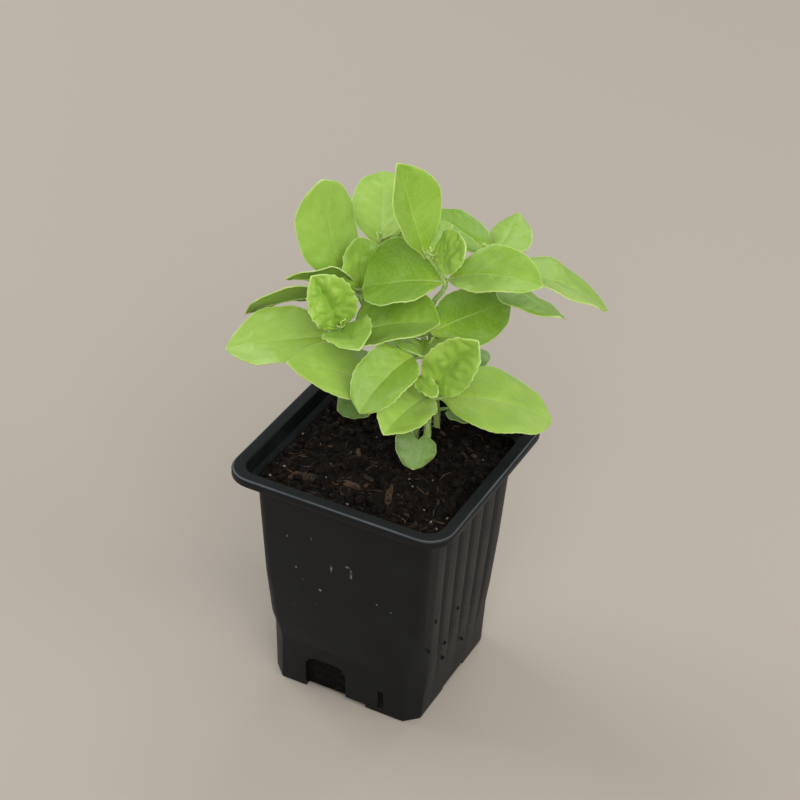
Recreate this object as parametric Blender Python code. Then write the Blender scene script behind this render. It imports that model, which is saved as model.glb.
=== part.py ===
"""Young basil in a square plastic nursery pot.

The pot is a thin moulded shell with a turned-down rim, ribbed sides and drainage slots. Potting mix fills it
to just below the rim. Seven seedlings stand in the mix, each one piece from its root to its leaf tips.

Lengths in the values below are millimetres and angles are degrees. +Z is up, the origin is the centre of the
pot's underside, -Y is the pot's smooth side and +X a ribbed side.
"""

import math
from dataclasses import dataclass

import bmesh
import bpy
from mathutils import Matrix, Vector

MM = 0.001
GAP = 0.3

# Pot, half widths measured from its centre line
POT_HEIGHT = 78.0
RIM_HALF = 35.0
RIM_CORNER = 8.4
LIP_HEIGHT = 2.5
LIP_THICKNESS = 1.0
OPENING_HALF = 31.0
OPENING_CORNER = 5.0
COLLAR_BOTTOM = 73.2
SHOULDER_BOTTOM = 70.0
BODY_TOP_HALF = 28.0
BASE_HALF = 24.4
WALL = 0.9
FLOOR = 1.1
RIB_COUNT = 6
RIB_HEIGHT = 0.5
CORNER_STEPS = 3
WALL_REACH = 6.0
SLOT_WIDTH = 13.5
SLOT_HEIGHT = 12.5
SLOT_PLACE = -5.5
SLOT_ROUNDING = 4.0
NOTCH_WIDTH = 14.0
NOTCH_HEIGHT = 1.6
NOTCH_PLACE = 1.0
SLIT_WIDTH = 1.8
SLIT_BOTTOM = 2.6
SLIT_TOP = 9.0
SLIT_PLACE = 13.0
FLOOR_HOLE_RADIUS = 3.5
FLOOR_HOLE_PLACE = 11.5

# Potting mix
SOIL_LEVEL = POT_HEIGHT - 6.0
SOIL_RELIEF = 0.7
SOIL_CALM_RADIUS = 6.0
SOIL_RINGS = (0.86, 0.68, 0.48, 0.26)

# Seedlings
STEM_RADIUS = 0.95
STEM_TOP_RADIUS = 0.65
ROOT_DEPTH = 13.0
STEM_STEPS = 7
STALK_RADII = (0.6, 0.55, 0.48, 0.33)
BLADE_THICKNESS = 0.65
TOOTH = 0.25
WAVE = 0.35

# Half widths from base to tip, as shares of the widest half width
POINTED = (0.05, 0.43, 0.72, 0.90, 0.985, 1.0, 0.96, 0.86, 0.69, 0.43, 0.0)
BLUNT = (0.05, 0.40, 0.68, 0.87, 0.97, 1.0, 0.985, 0.92, 0.80, 0.58, 0.0)
TAPERED = (0.04, 0.22, 0.47, 0.70, 0.88, 0.98, 1.0, 0.93, 0.76, 0.47, 0.0)
BROAD = (0.06, 0.55, 0.84, 0.96, 1.0, 0.99, 0.95, 0.87, 0.74, 0.50, 0.0)
KIDNEY = (0.35, 0.74, 0.93, 1.0, 0.99, 0.95, 0.88, 0.78, 0.64, 0.44, 0.0)


@dataclass
class Leaf:
    """A leaf: where it sits on the stem, which way it points and how large its blade is."""

    node: str
    heading: float
    pitch: float
    roll: float
    length: float
    width: float
    droop: float
    cup: float = 0.1
    stalk: float = 4.0
    rise: float = 10.0
    turn: float = 0.0
    outline: tuple = POINTED
    rows: int = 12
    strips: int = 4


@dataclass
class Plant:
    """A seedling. Its nodes are measured from where its stem leaves the potting mix."""

    name: str
    root: tuple
    bends: tuple
    pair: tuple
    top: tuple
    seed_height: float
    leaves: tuple


def young(node, heading, pitch, length, width):
    """A small leaf of the growing tip, almost without a stalk."""
    return Leaf(node, heading, pitch, 0.0, length, width, 15.0, 0.3, 0.3, pitch, 0.0, BLUNT, 6, 2)


def seed_leaf(heading, pitch, stalk):
    """One of the two first leaves of a seedling, wider than long, with a notch at its stalk."""
    return Leaf("seed", heading, pitch, 0.0, 10.5, 12.0, 15.0, -0.1, stalk, 20.0, 0.0, KIDNEY, 6, 4)


PLANTS = (
    Plant(
        "basil_plant_front_left", (3.5, 9.5), ((-17.5, 0.0, 23.0),), (-22.4, -3.3, 33.7),
        (-22.2, -5.9, 37.0), 14.0,
        (
            Leaf("pair", 204, -4, -23, 31, 20, 16, 0.29, 3.3, -7),
            Leaf("pair", 13, 33, 15, 27, 22, 30, 0.38, 3.0, 28, 0, BROAD),
            Leaf("top", 219, 78, -75, 20.3, 13.8, 24, 0.60, 0.3, 88, 0, BLUNT, 8),
            Leaf("top", 317, 29, 16, 18, 13.7, 29, 0.46, 0.3, 39, 0, BLUNT, 8),
            Leaf("top", 190, 38, 0, 3.6, 3, 23, 0.30, 0.6, 74, 0, BLUNT, 6, 2),
            Leaf("top", 19, 73, -11, 5, 2.4, 11, 0.28, 0.6, 70, 0, BLUNT, 6, 2),
            Leaf("seed", 215, -25, -27, 8.5, 12.5, 12, -0.02, 7.4, 10, 0, KIDNEY, 6, 4),
        ),
    ),
    Plant(
        "basil_plant_back_left", (4.5, 17.0), (), (-23.9, 1.4, 39.1), (-24.8, 2.2, 40.7), 11.0,
        (
            Leaf("pair", 206, 4, 42, 31, 19, 35, 0.17, 4.0, 13),
            Leaf("pair", 187, 69, -33, 32, 20, -15, -0.14, 7.6, 37, -11, BLUNT),
            Leaf("top", 124, 88, 10, 16.5, 12.8, 29, 0.60, 0.3, 88, 0, BLUNT, 8),
            young("top", 300, 50, 5, 4),
            Leaf("top", 225, 22, 42, 21, 16, 16, 0.21, 3.9, 59),
        ),
    ),
    Plant(
        "basil_plant_tall", (4.5, 22.5), ((-2.8, -1.0, 42.3),), (1.5, -2.8, 52.8), (-3.4, -2.3, 58.3), 7.0,
        (
            Leaf("pair", 198, 0, -17, 24, 25.5, 27, 0.40, 0.3, -43, 0, BLUNT),
            Leaf("pair", 3, 32, 17, 29, 18, 42, 0.30, 1.4, 42),
            Leaf("top", 203, 73, -39, 30.7, 18, 0, 0.44, 1.5, 2, 0, TAPERED),
            Leaf("top", 345, 37, 62, 15, 12.2, 2, 0.03, 0.3, 64, 0, BLUNT, 8),
            Leaf("top", 102, 36, -8, 12.8, 8.7, 31, 0.37, 0.9, 67, 0, BLUNT, 8),
            seed_leaf(20, 0, 5.0),
        ),
    ),
    Plant(
        "basil_plant_front", (7.0, 10.5), (), (0.6, -0.1, 18.4), (3.3, -6.7, 25.6), 5.0,
        (
            Leaf("pair", 215, 27, -14, 37.5, 21.5, 16, 0.07, 6.4, 27),
            Leaf("pair", 31, 5, 9, 34.3, 26, 40, 0.04, 3.3, 16, 0, BROAD),
            Leaf("pair", 267, 19, -22, 25.9, 14.4, 32, 0.46, 2.1, 77, 0, BLUNT),
            Leaf("top", 16, 62, 75, 23.2, 13.9, 12, 0.60, 0.3, 79, 0, BLUNT, 8),
            Leaf("top", 331, 0, 24, 11, 4.6, 4, 0.26, 6.2, 45, -145, BLUNT, 6, 2),
            young("top", 190, 65, 5, 3.5),
            Leaf("seed", 285, -33, -28, 8.8, 12.9, 27, -0.12, 7.0, 24, -11, KIDNEY, 6, 4),
        ),
    ),
    Plant(
        "basil_plant_middle", (1.8, 13.8), (), (2.2, -0.3, 30.0), (-0.3, 3.2, 34.0), 12.0,
        (
            Leaf("pair", 252, -1, -18, 23.4, 15.5, 52, 0.38, 10.0, 32, 19, BROAD),
            Leaf("pair", 62, 8, 36, 28, 17.3, 11, -0.20, 9.3, 80, -75, BLUNT),
            Leaf("top", 295, 4, 0, 10.2, 18, -7, 0.41, 1.8, 0, 0, BLUNT, 8),
            young("top", 165, 15, 5, 4),
            young("top", 250, 35, 3.5, 3),
        ),
    ),
    Plant(
        "basil_plant_back_right", (0.8, 23.8), (), (12.4, 15.0, 50.1), (11.9, 13.6, 53.7), 14.0,
        (
            Leaf("pair", 165, 26, 2, 26.2, 15.3, 31, 0.10, 3.1, 36, 0, BLUNT),
            Leaf("pair", 41, -13, 0, 35, 22, 31, 0.16, 5.0, -27),
            Leaf("pair", 325, 0, -22, 29.5, 18.5, -14, -0.20, 5.4, -8),
            Leaf("top", 100, -3, -5, 27.1, 14, -5, -0.25, 0.3, -8),
            young("top", 250, 60, 6, 4.5),
            Leaf("seed", 64, 7, 0, 10.1, 12, 15, -0.10, 8.3, 26, 0, KIDNEY, 6, 4),
        ),
    ),
    Plant(
        "basil_plant_back", (-3.5, 23.0), (), (-15.8, 6.4, 46.2), (-15.6, 6.9, 50.7), 16.0,
        (
            Leaf("pair", 191, 6, 15, 15.2, 9, 9, -0.10, 4.1, -12),
            Leaf("pair", 82, 4, 38, 24, 15, 26, 0.09, 0.8, 7, 0, BLUNT),
            Leaf("pair", 117, 30, -6, 28.9, 17.9, 17, 0.18, 4.2, 41, 0, BLUNT),
            young("top", 340, 70, 6, 4),
            young("top", 200, 75, 5, 3.5),
            seed_leaf(135, 5, 4.0),
        ),
    ),
)


def clear_scene():
    for item in list(bpy.data.objects):
        bpy.data.objects.remove(item)


def principled(name, colour, roughness):
    material = bpy.data.materials.new(name)
    material.use_nodes = True
    shader = material.node_tree.nodes["Principled BSDF"]
    shader.inputs["Base Color"].default_value = (*colour, 1.0)
    shader.inputs["Roughness"].default_value = roughness
    shader.inputs["Metallic"].default_value = 0.0
    material.diffuse_color = (*colour, 1.0)
    return material


def finish(name, shape, material, place=(0.0, 0.0, 0.0)):
    """Turn a bmesh in millimetres into a named object in metres, standing at its place."""
    bmesh.ops.recalc_face_normals(shape, faces=shape.faces)
    mesh = bpy.data.meshes.new(name)
    shape.to_mesh(mesh)
    shape.free()
    mesh.transform(Matrix.Scale(MM, 4))
    mesh.materials.append(material)
    item = bpy.data.objects.new(name, mesh)
    item.location = Vector(place) * MM
    bpy.context.scene.collection.objects.link(item)
    return item


def smooth_step(value):
    value = min(max(value, 0.0), 1.0)
    return value * value * (3.0 - 2.0 * value)


def read_profile(values, share):
    """A smooth reading of evenly spaced values at a share of their run, by Hermite curves."""
    last = len(values) - 1
    place = min(max(share, 0.0), 1.0) * last
    index = min(int(place), last - 1)
    part = place - index
    before = values[max(index - 1, 0)]
    start, end = values[index], values[index + 1]
    after = values[min(index + 2, last)]
    start_slope = (end - before) / 2.0
    end_slope = (after - start) / 2.0
    part2, part3 = part * part, part * part * part
    return (
        start * (2 * part3 - 3 * part2 + 1)
        + start_slope * (part3 - 2 * part2 + part)
        + end * (3 * part2 - 2 * part3)
        + end_slope * (part3 - part2)
    )


# Pot


def pot_ring(half, corner, height, rib=0.0, facet=0.0):
    """One level of the pot: a rounded square whose X sides may be ribbed and whose corners may be flat."""
    points = []
    straight = half - corner
    for quarter in range(4):
        turn = Matrix.Rotation(math.radians(90 * quarter), 3, "Z")
        ribbed = quarter % 2 == 0
        steps = 2 * RIB_COUNT if ribbed else 1
        for step in range(steps + 1):
            along = -straight + 2 * straight * step / steps
            out = rib if ribbed and step % 2 == 1 else 0.0
            points.append(turn @ Vector((half + out, along, height)))
        for step in range(1, CORNER_STEPS):
            share = step / CORNER_STEPS
            angle = share * math.pi / 2
            round_point = Vector((math.cos(angle), math.sin(angle), 0.0))
            flat_point = Vector((1.0 - share, share, 0.0))
            offset = round_point.lerp(flat_point, facet) * corner
            points.append(turn @ (Vector((straight, straight, height)) + offset))
    return points


def body_half(height):
    """Outer half width of the tapered body."""
    return BASE_HALF + (BODY_TOP_HALF - BASE_HALF) * height / SHOULDER_BOTTOM


def inner_levels():
    """Half width, corner, height and corner flatness of the inside, from the opening down to the floor."""
    levels = [
        (OPENING_HALF, OPENING_CORNER, POT_HEIGHT - 0.3, 0.0),
        (OPENING_HALF - 0.5, OPENING_CORNER - 0.3, COLLAR_BOTTOM, 0.0),
        (BODY_TOP_HALF - WALL, 3.4, SHOULDER_BOTTOM - 0.4, 0.0),
    ]
    for height, corner, facet in ((40.0, 4.2, 0.5), (15.0, 5.0, 1.0), (FLOOR, 3.0, 1.0)):
        levels.append((body_half(height) - WALL, corner, height, facet))
    return levels


def pot_rings():
    """Every level of the shell in order: underside, outer wall, rim and inner wall down to the floor."""
    lip_inner = RIM_HALF - LIP_THICKNESS
    top = POT_HEIGHT
    rings = [
        pot_ring(BASE_HALF - 0.6, 2.6, 0.0, 0.0, 1.0),
        pot_ring(BASE_HALF, 3.0, 0.8, 0.0, 1.0),
        pot_ring(body_half(15.0), 5.2, 15.0, 0.0, 1.0),
        pot_ring(body_half(24.0), 4.8, 24.0, RIB_HEIGHT, 0.8),
        pot_ring(body_half(40.0), 4.2, 40.0, RIB_HEIGHT, 0.5),
        pot_ring(body_half(68.0), 3.6, 68.0, RIB_HEIGHT, 0.0),
        pot_ring(BODY_TOP_HALF, 3.6, SHOULDER_BOTTOM, 0.0, 0.0),
        pot_ring(OPENING_HALF + 0.4, 5.4, COLLAR_BOTTOM, 0.0, 0.0),
        pot_ring(OPENING_HALF + 0.9, 5.8, top - LIP_THICKNESS, 0.0, 0.0),
        pot_ring(lip_inner, RIM_CORNER - LIP_THICKNESS, top - LIP_THICKNESS, 0.0, 0.0),
        pot_ring(lip_inner, RIM_CORNER - LIP_THICKNESS, top - LIP_HEIGHT, 0.0, 0.0),
        pot_ring(RIM_HALF, RIM_CORNER, top - LIP_HEIGHT, 0.0, 0.0),
        pot_ring(RIM_HALF, RIM_CORNER, top - 0.6, 0.0, 0.0),
        pot_ring(RIM_HALF - 0.6, RIM_CORNER - 0.5, top, 0.0, 0.0),
        pot_ring(OPENING_HALF + 0.3, OPENING_CORNER + 0.2, top, 0.0, 0.0),
    ]
    for half, corner, height, facet in inner_levels():
        rings.append(pot_ring(half, corner, height, 0.0, facet))
    return rings


def skin_rings(rings):
    """Bridge rings of equal count one after another and fill the first and the last."""
    shape = bmesh.new()
    loops = [[shape.verts.new(point) for point in ring] for ring in rings]
    count = len(rings[0])
    for lower, upper in zip(loops, loops[1:]):
        for index in range(count):
            following = (index + 1) % count
            shape.faces.new((lower[index], lower[following], upper[following], upper[index]))
    shape.faces.new(loops[0])
    shape.faces.new(loops[-1])
    return shape


def hide_cutter(cutter):
    cutter.hide_render = True
    cutter.display_type = "WIRE"


def cutter_collection(name):
    collection = bpy.data.collections.new(name)
    bpy.context.scene.collection.children.link(collection)
    return collection


def move_to(collection, item):
    for owner in list(item.users_collection):
        owner.objects.unlink(item)
    collection.objects.link(item)


def side_cutter(collection, name, along, bottom, top, width, turn, rounding=0.0):
    """A cutter through one side wall, given along the side and from bottom to top."""
    shape = bmesh.new()
    bmesh.ops.create_cube(shape, size=1.0)
    bmesh.ops.scale(shape, vec=(width, WALL_REACH, top - bottom), verts=shape.verts)
    if rounding > 0.0:
        upper = []
        for edge in shape.edges:
            start, end = edge.verts[0].co, edge.verts[1].co
            if start.z > 0 and end.z > 0 and abs(start.y - end.y) > 1.0:
                upper.append(edge)
        bmesh.ops.bevel(shape, geom=upper, offset=rounding, segments=3, profile=0.5, affect="EDGES")
    bmesh.ops.translate(shape, vec=(along, -BASE_HALF, (top + bottom) / 2), verts=shape.verts)
    bmesh.ops.rotate(shape, cent=(0, 0, 0), matrix=Matrix.Rotation(turn, 3, "Z"), verts=shape.verts)
    cutter = finish(name, shape, bpy.data.materials["moulded plastic"])
    hide_cutter(cutter)
    move_to(collection, cutter)


def round_cutter(collection, name, centre, radius, bottom, top, sides, material):
    shape = bmesh.new()
    bmesh.ops.create_cone(
        shape, cap_ends=True, segments=sides, radius1=radius, radius2=radius, depth=top - bottom
    )
    bmesh.ops.translate(shape, vec=(centre[0], centre[1], (top + bottom) / 2), verts=shape.verts)
    cutter = finish(name, shape, material)
    hide_cutter(cutter)
    move_to(collection, cutter)


def cut_with(item, collection):
    cut = item.modifiers.new("openings", "BOOLEAN")
    cut.operation = "DIFFERENCE"
    cut.operand_type = "COLLECTION"
    cut.collection = collection
    cut.solver = "EXACT"


def build_pot():
    plastic = principled("moulded plastic", (0.028, 0.032, 0.036), 0.42)
    pot = finish("pot", skin_rings(pot_rings()), plastic)
    openings = cutter_collection("pot openings")
    for side in range(4):
        turn = math.radians(90 * side)
        notch = (NOTCH_PLACE, -0.5, NOTCH_HEIGHT, NOTCH_WIDTH)
        side_cutter(openings, f"notch {side}", *notch, turn)
        if side % 2 == 0:
            slot = (SLOT_PLACE, -0.5, SLOT_HEIGHT, SLOT_WIDTH)
            side_cutter(openings, f"slot {side}", *slot, turn, SLOT_ROUNDING)
            side_cutter(openings, f"slit {side}", SLIT_PLACE, SLIT_BOTTOM, SLIT_TOP, SLIT_WIDTH, turn)
        place = Matrix.Rotation(turn, 3, "Z") @ Vector((FLOOR_HOLE_PLACE, FLOOR_HOLE_PLACE, 0.0))
        round_cutter(openings, f"floor hole {side}", place, FLOOR_HOLE_RADIUS, -1.0, FLOOR + 1.0, 12, plastic)
    cut_with(pot, openings)


# Potting mix


def soil_height(x, y):
    """Uneven surface, calm round each stem."""
    bumps = 0.5 * math.sin(0.46 * x + 1.0) * math.cos(0.41 * y + 0.4) + 0.35 * math.sin(0.9 * x - 0.7 * y)
    bumps += 0.15 * math.cos(1.7 * x + 1.3 * y)
    nearest = min(math.hypot(x - plant.root[0], y - plant.root[1]) for plant in PLANTS)
    return SOIL_LEVEL + SOIL_RELIEF * bumps * smooth_step(nearest / SOIL_CALM_RADIUS)


def soil_edge():
    """Half width and corner of the mix where its surface meets the collar."""
    upper, lower = inner_levels()[1], inner_levels()[2]
    share = (SOIL_LEVEL - lower[2]) / (upper[2] - lower[2])
    half = lower[0] + (upper[0] - lower[0]) * share - GAP
    corner = lower[1] + (upper[1] - lower[1]) * share
    return half, corner


def build_soil():
    mix = principled("potting mix", (0.022, 0.014, 0.009), 0.95)
    levels = list(reversed(inner_levels()[2:]))
    floor_level = levels[0]
    levels[0] = (floor_level[0], floor_level[1], floor_level[2] + GAP, floor_level[3])
    rings = []
    for half, corner, height, facet in levels:
        rings.append(pot_ring(half - GAP, corner, height, 0.0, facet))
    edge_half, edge_corner = soil_edge()
    rings.append(pot_ring(edge_half, edge_corner, SOIL_LEVEL, 0.0, 0.0))
    for share in SOIL_RINGS:
        ring = pot_ring(edge_half * share, edge_corner * share, SOIL_LEVEL)
        rings.append([Vector((p.x, p.y, soil_height(p.x, p.y))) for p in ring])
    soil = finish("potting_mix", skin_rings(rings), mix)
    holes = cutter_collection("stem holes")
    for plant in PLANTS:
        bottom = SOIL_LEVEL - ROOT_DEPTH - GAP
        round_cutter(
            holes, f"hole {plant.name}", plant.root, STEM_RADIUS + GAP + 0.1, bottom, SOIL_LEVEL + 3.0, 10, mix
        )
    cut_with(soil, holes)


# Seedlings


def direction(heading, pitch):
    flat = math.cos(math.radians(pitch))
    return Vector(
        (
            flat * math.cos(math.radians(heading)),
            flat * math.sin(math.radians(heading)),
            math.sin(math.radians(pitch)),
        )
    )


def hermite(start, start_slope, end, end_slope, share):
    share2, share3 = share * share, share * share * share
    return (
        start * (2 * share3 - 3 * share2 + 1)
        + start_slope * (share3 - 2 * share2 + share)
        + end * (3 * share2 - 2 * share3)
        + end_slope * (share3 - share2)
    )


def stem_point(plant, share):
    """A point between the surface of the mix and the lower leaf pair, for a share from 0 to 1."""
    knots = [Vector((0.0, 0.0, 0.0))]
    knots += [Vector(point) for point in (*plant.bends, plant.pair, plant.top)]
    place = share * (len(knots) - 2)
    index = min(int(place), len(knots) - 3)
    start, end = knots[index], knots[index + 1]
    step = end - start
    leaving = Vector((0.0, 0.0, 1.0))
    if index > 0:
        leaving = ((start - knots[index - 1]).normalized() + step.normalized()).normalized()
    arriving = (step.normalized() + (knots[index + 2] - end).normalized()).normalized()
    return hermite(start, leaving * step.length, end, arriving * step.length, place - index)


def stem_node(plant, node):
    if node == "pair":
        return Vector(plant.pair)
    if node == "top":
        return Vector(plant.top)
    shares = [step / 40 for step in range(41)]
    nearest = min(shares, key=lambda share: abs(stem_point(plant, share).z - plant.seed_height))
    return stem_point(plant, nearest)


def tube(name, points, radii):
    """A closed six-sided tube along points, from a curve with a round bevel."""
    curve = bpy.data.curves.new(name, "CURVE")
    curve.dimensions = "3D"
    curve.bevel_depth = 1.0
    curve.bevel_resolution = 1
    curve.use_fill_caps = True
    line = curve.splines.new("POLY")
    line.points.add(len(points) - 1)
    for target, point, radius in zip(line.points, points, radii):
        target.co = (*point, 1.0)
        target.radius = radius
    carrier = bpy.data.objects.new(name, curve)
    bpy.context.scene.collection.objects.link(carrier)
    reading = carrier.evaluated_get(bpy.context.evaluated_depsgraph_get())
    shape = bmesh.new()
    shape.from_mesh(reading.to_mesh())
    reading.to_mesh_clear()
    bpy.data.objects.remove(carrier)
    bpy.data.curves.remove(curve)
    bmesh.ops.remove_doubles(shape, verts=shape.verts, dist=0.0001)
    return shape


def leaf_base(plant, leaf):
    return stem_node(plant, leaf.node) + direction(leaf.heading + leaf.turn, leaf.rise) * leaf.stalk


def stalk_points(plant, leaf):
    """The stalk, bending from its node through the blade's base into the first part of the midrib."""
    node, base = stem_node(plant, leaf.node), leaf_base(plant, leaf)
    inside = midrib(base, leaf, 0.18)
    points = []
    for step in range(len(STALK_RADII)):
        share = step / (len(STALK_RADII) - 1)
        points.append(node.lerp(base, share).lerp(base.lerp(inside, share), share))
    return points


def midrib(base, leaf, share):
    """A point of the midrib, which bends down evenly from base to tip."""
    steps = 12
    point = Vector(base)
    for step in range(steps):
        middle = (step + 0.5) / steps * share
        point += direction(leaf.heading, leaf.pitch - leaf.droop * middle) * leaf.length * share / steps
    return point


def blade_point(base, leaf, share, side):
    """A point of the blade: share runs from base to tip and side from -1 to 1 across it."""
    along = direction(leaf.heading, leaf.pitch - leaf.droop * share)
    level_left = direction(leaf.heading + 90.0, 0.0)
    upward = along.cross(level_left)
    roll = math.radians(leaf.roll)
    left = level_left * math.cos(roll) + upward * math.sin(roll)
    upward = along.cross(left)
    half = read_profile(leaf.outline, share) * leaf.width / 2
    row = round(share * leaf.rows)
    if abs(side) > 0.99 and row % 2 == 1 and 1 < row < leaf.rows and leaf.outline is not KIDNEY:
        half += TOOTH
    lift = leaf.cup * half * abs(side) ** 1.5
    lift += WAVE * math.sin(2 * math.pi * (2.2 * share + 0.25 * side)) * side * side * half / (leaf.width / 2)
    point = midrib(base, leaf, share) + left * half * side + upward * lift
    if leaf.outline is KIDNEY:
        point -= along * 0.28 * leaf.width * abs(side) ** 1.5 * (1.0 - share) ** 2
    return point


def blade(base, leaf):
    shape = bmesh.new()
    bmesh.ops.create_grid(shape, x_segments=leaf.rows, y_segments=leaf.strips, size=1.0)
    for vertex in shape.verts:
        vertex.co = blade_point(base, leaf, (vertex.co.x + 1.0) / 2.0, vertex.co.y)
    bmesh.ops.remove_doubles(shape, verts=shape.verts, dist=0.0001)
    bmesh.ops.triangulate(shape, faces=shape.faces)
    shape.normal_update()
    normals = {vertex: vertex.normal.copy() for vertex in shape.verts}
    upper_faces = list(shape.faces)
    sheet = bmesh.ops.extrude_face_region(shape, geom=upper_faces, use_keep_orig=True)
    shape.normal_update()
    moved = [item for item in sheet["geom"] if isinstance(item, bmesh.types.BMVert)]
    tree = {tuple(round(value, 5) for value in vertex.co): normal for vertex, normal in normals.items()}
    for vertex in moved:
        normal = tree[tuple(round(value, 5) for value in vertex.co)]
        vertex.co -= normal * BLADE_THICKNESS / 2
    for vertex, normal in normals.items():
        vertex.co += normal * BLADE_THICKNESS / 2
    return shape


def build_plant(plant, green):
    pieces = cutter_collection(f"pieces of {plant.name}")
    level = Vector((plant.root[0], plant.root[1], SOIL_LEVEL))
    stem_points = [Vector((0.0, 0.0, -ROOT_DEPTH))]
    stem_points += [stem_point(plant, step / STEM_STEPS) for step in range(STEM_STEPS + 1)]
    stem_points.append(Vector(plant.top))
    last = len(stem_points) - 1
    radii = [STEM_RADIUS + (STEM_TOP_RADIUS - STEM_RADIUS) * index / last for index in range(last + 1)]
    radii[0] = STEM_RADIUS * 0.5
    stem = finish(plant.name, tube("stem", stem_points, radii), green, level)
    for index, leaf in enumerate(plant.leaves):
        base = leaf_base(plant, leaf)
        stalk = tube("stalk", stalk_points(plant, leaf), STALK_RADII)
        move_to(pieces, finish(f"stalk {index}", stalk, green, level))
        move_to(pieces, finish(f"blade {index}", blade(base, leaf), green, level))
    join = stem.modifiers.new("grown together", "BOOLEAN")
    join.operation = "UNION"
    join.operand_type = "COLLECTION"
    join.collection = pieces
    join.solver = "EXACT"
    reading = stem.evaluated_get(bpy.context.evaluated_depsgraph_get())
    grown = bpy.data.meshes.new_from_object(reading)
    stem.modifiers.clear()
    stem.data = grown
    for piece in list(pieces.objects):
        bpy.data.objects.remove(piece)
    bpy.data.collections.remove(pieces)
    return stem


def build_plants():
    for plant in PLANTS:
        green = principled(f"fresh basil {plant.name}", (0.27, 0.48, 0.06), 0.5)
        build_plant(plant, green)


clear_scene()
build_pot()
build_soil()
build_plants()
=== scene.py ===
# %% [markdown]
# # Young basil in a square nursery pot
# The solid model of the pot, the potting mix and the seedlings comes in as a fixed frame. This lesson
# dresses it: a thin moulded pot, loose potting mix, and leaves as thin as real ones. Everything is in
# metres on the frame's own axes, so each piece goes where the frame says: +Z is up, and the origin is under
# the pot.

# %% Load the frame
import math
import random
from collections import namedtuple
from contextlib import contextmanager
from functools import partial

import bmesh
import bpy
from mathutils import Matrix, Vector, noise


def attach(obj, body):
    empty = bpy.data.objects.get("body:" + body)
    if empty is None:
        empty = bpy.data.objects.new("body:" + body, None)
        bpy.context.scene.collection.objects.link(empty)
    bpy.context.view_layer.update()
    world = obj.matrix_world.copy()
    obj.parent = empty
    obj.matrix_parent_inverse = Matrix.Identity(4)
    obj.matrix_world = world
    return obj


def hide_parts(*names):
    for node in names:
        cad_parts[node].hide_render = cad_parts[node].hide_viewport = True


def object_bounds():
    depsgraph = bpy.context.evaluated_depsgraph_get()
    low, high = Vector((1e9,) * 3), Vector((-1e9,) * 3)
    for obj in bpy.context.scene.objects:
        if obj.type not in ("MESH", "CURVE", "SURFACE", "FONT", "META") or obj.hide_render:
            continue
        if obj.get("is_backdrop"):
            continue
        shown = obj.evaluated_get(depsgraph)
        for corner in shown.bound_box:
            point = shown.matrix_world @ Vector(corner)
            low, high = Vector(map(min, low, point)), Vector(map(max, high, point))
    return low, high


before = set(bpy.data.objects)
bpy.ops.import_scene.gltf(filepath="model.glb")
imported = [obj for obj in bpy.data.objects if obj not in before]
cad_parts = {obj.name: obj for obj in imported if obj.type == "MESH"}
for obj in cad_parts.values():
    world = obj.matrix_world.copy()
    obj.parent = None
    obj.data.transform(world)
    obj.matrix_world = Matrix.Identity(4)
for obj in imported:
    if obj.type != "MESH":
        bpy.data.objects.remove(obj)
frame_box = [list(corner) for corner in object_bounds()]
print("frame box in mm", [[round(value * 1000, 1) for value in corner] for corner in frame_box])

# %% [markdown]
# ## Camera
# The camera's place, direction and lens were worked out from the pot's rim and corners, which are straight
# and of known proportions. The lens is long, so the pot's upright edges look nearly parallel.

# %% Camera
MM = 0.001
camera = bpy.data.objects.new("camera", bpy.data.cameras.new("camera"))
bpy.context.scene.collection.objects.link(camera)
camera.location = (0.2378484, -0.4771734, 0.4605593)
camera_right = Vector((0.8860829, 0.4622382, 0.0345396))
camera_up = Vector((-0.2873973, 0.4894025, 0.8233396))
camera_back = camera_right.cross(camera_up)
camera.rotation_euler = Matrix((camera_right, camera_up, camera_back)).transposed().to_euler()
camera.data.lens = 102.949
camera.data.sensor_width = 36.0
camera.data.clip_start = 0.01
bpy.context.scene.camera = camera
print("camera turned", [round(math.degrees(value), 2) for value in camera.rotation_euler], "degrees")

# %% [markdown]
# ## Working by hand, in code
# A tool acts on all that is selected, so each step first selects one object, or in edit mode the points,
# edges or faces at one place. A few short helpers do that, open and leave edit mode, and apply a modifier.


# %% Selecting
def take(item):
    """Deselect everything, then select one object and make it the active one."""
    bpy.ops.object.select_all(action="DESELECT")
    item.select_set(True)
    bpy.context.view_layer.objects.active = item


def pick(kind, test):
    """In edit mode, select only the points, edges or faces whose middle and normal pass a test."""
    bpy.ops.mesh.select_mode(type=kind)
    bpy.ops.mesh.select_all(action="DESELECT")
    mesh = bpy.context.object.data
    shape = bmesh.from_edit_mesh(mesh)
    for part in {"VERT": shape.verts, "EDGE": shape.edges, "FACE": shape.faces}[kind]:
        if kind == "VERT":
            middle, facing = part.co, part.normal
        elif kind == "EDGE":
            middle, facing = (part.verts[0].co + part.verts[1].co) / 2, part.verts[1].co - part.verts[0].co
        else:
            middle, facing = part.calc_center_median(), part.normal
        if test(middle / MM, facing):
            part.select_set(True)
    shape.select_flush_mode()
    bmesh.update_edit_mesh(mesh)


@contextmanager
def editing(item):
    """Open an object in edit mode with all of it selected, and leave that mode at the end."""
    take(item)
    bpy.ops.object.mode_set(mode="EDIT")
    bpy.ops.mesh.select_all(action="SELECT")
    yield
    bpy.ops.object.mode_set(mode="OBJECT")


def put(name, data):
    """Put an object with this mesh or lamp into the scene."""
    item = bpy.data.objects.new(name, data)
    bpy.context.scene.collection.objects.link(item)
    return item


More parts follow.
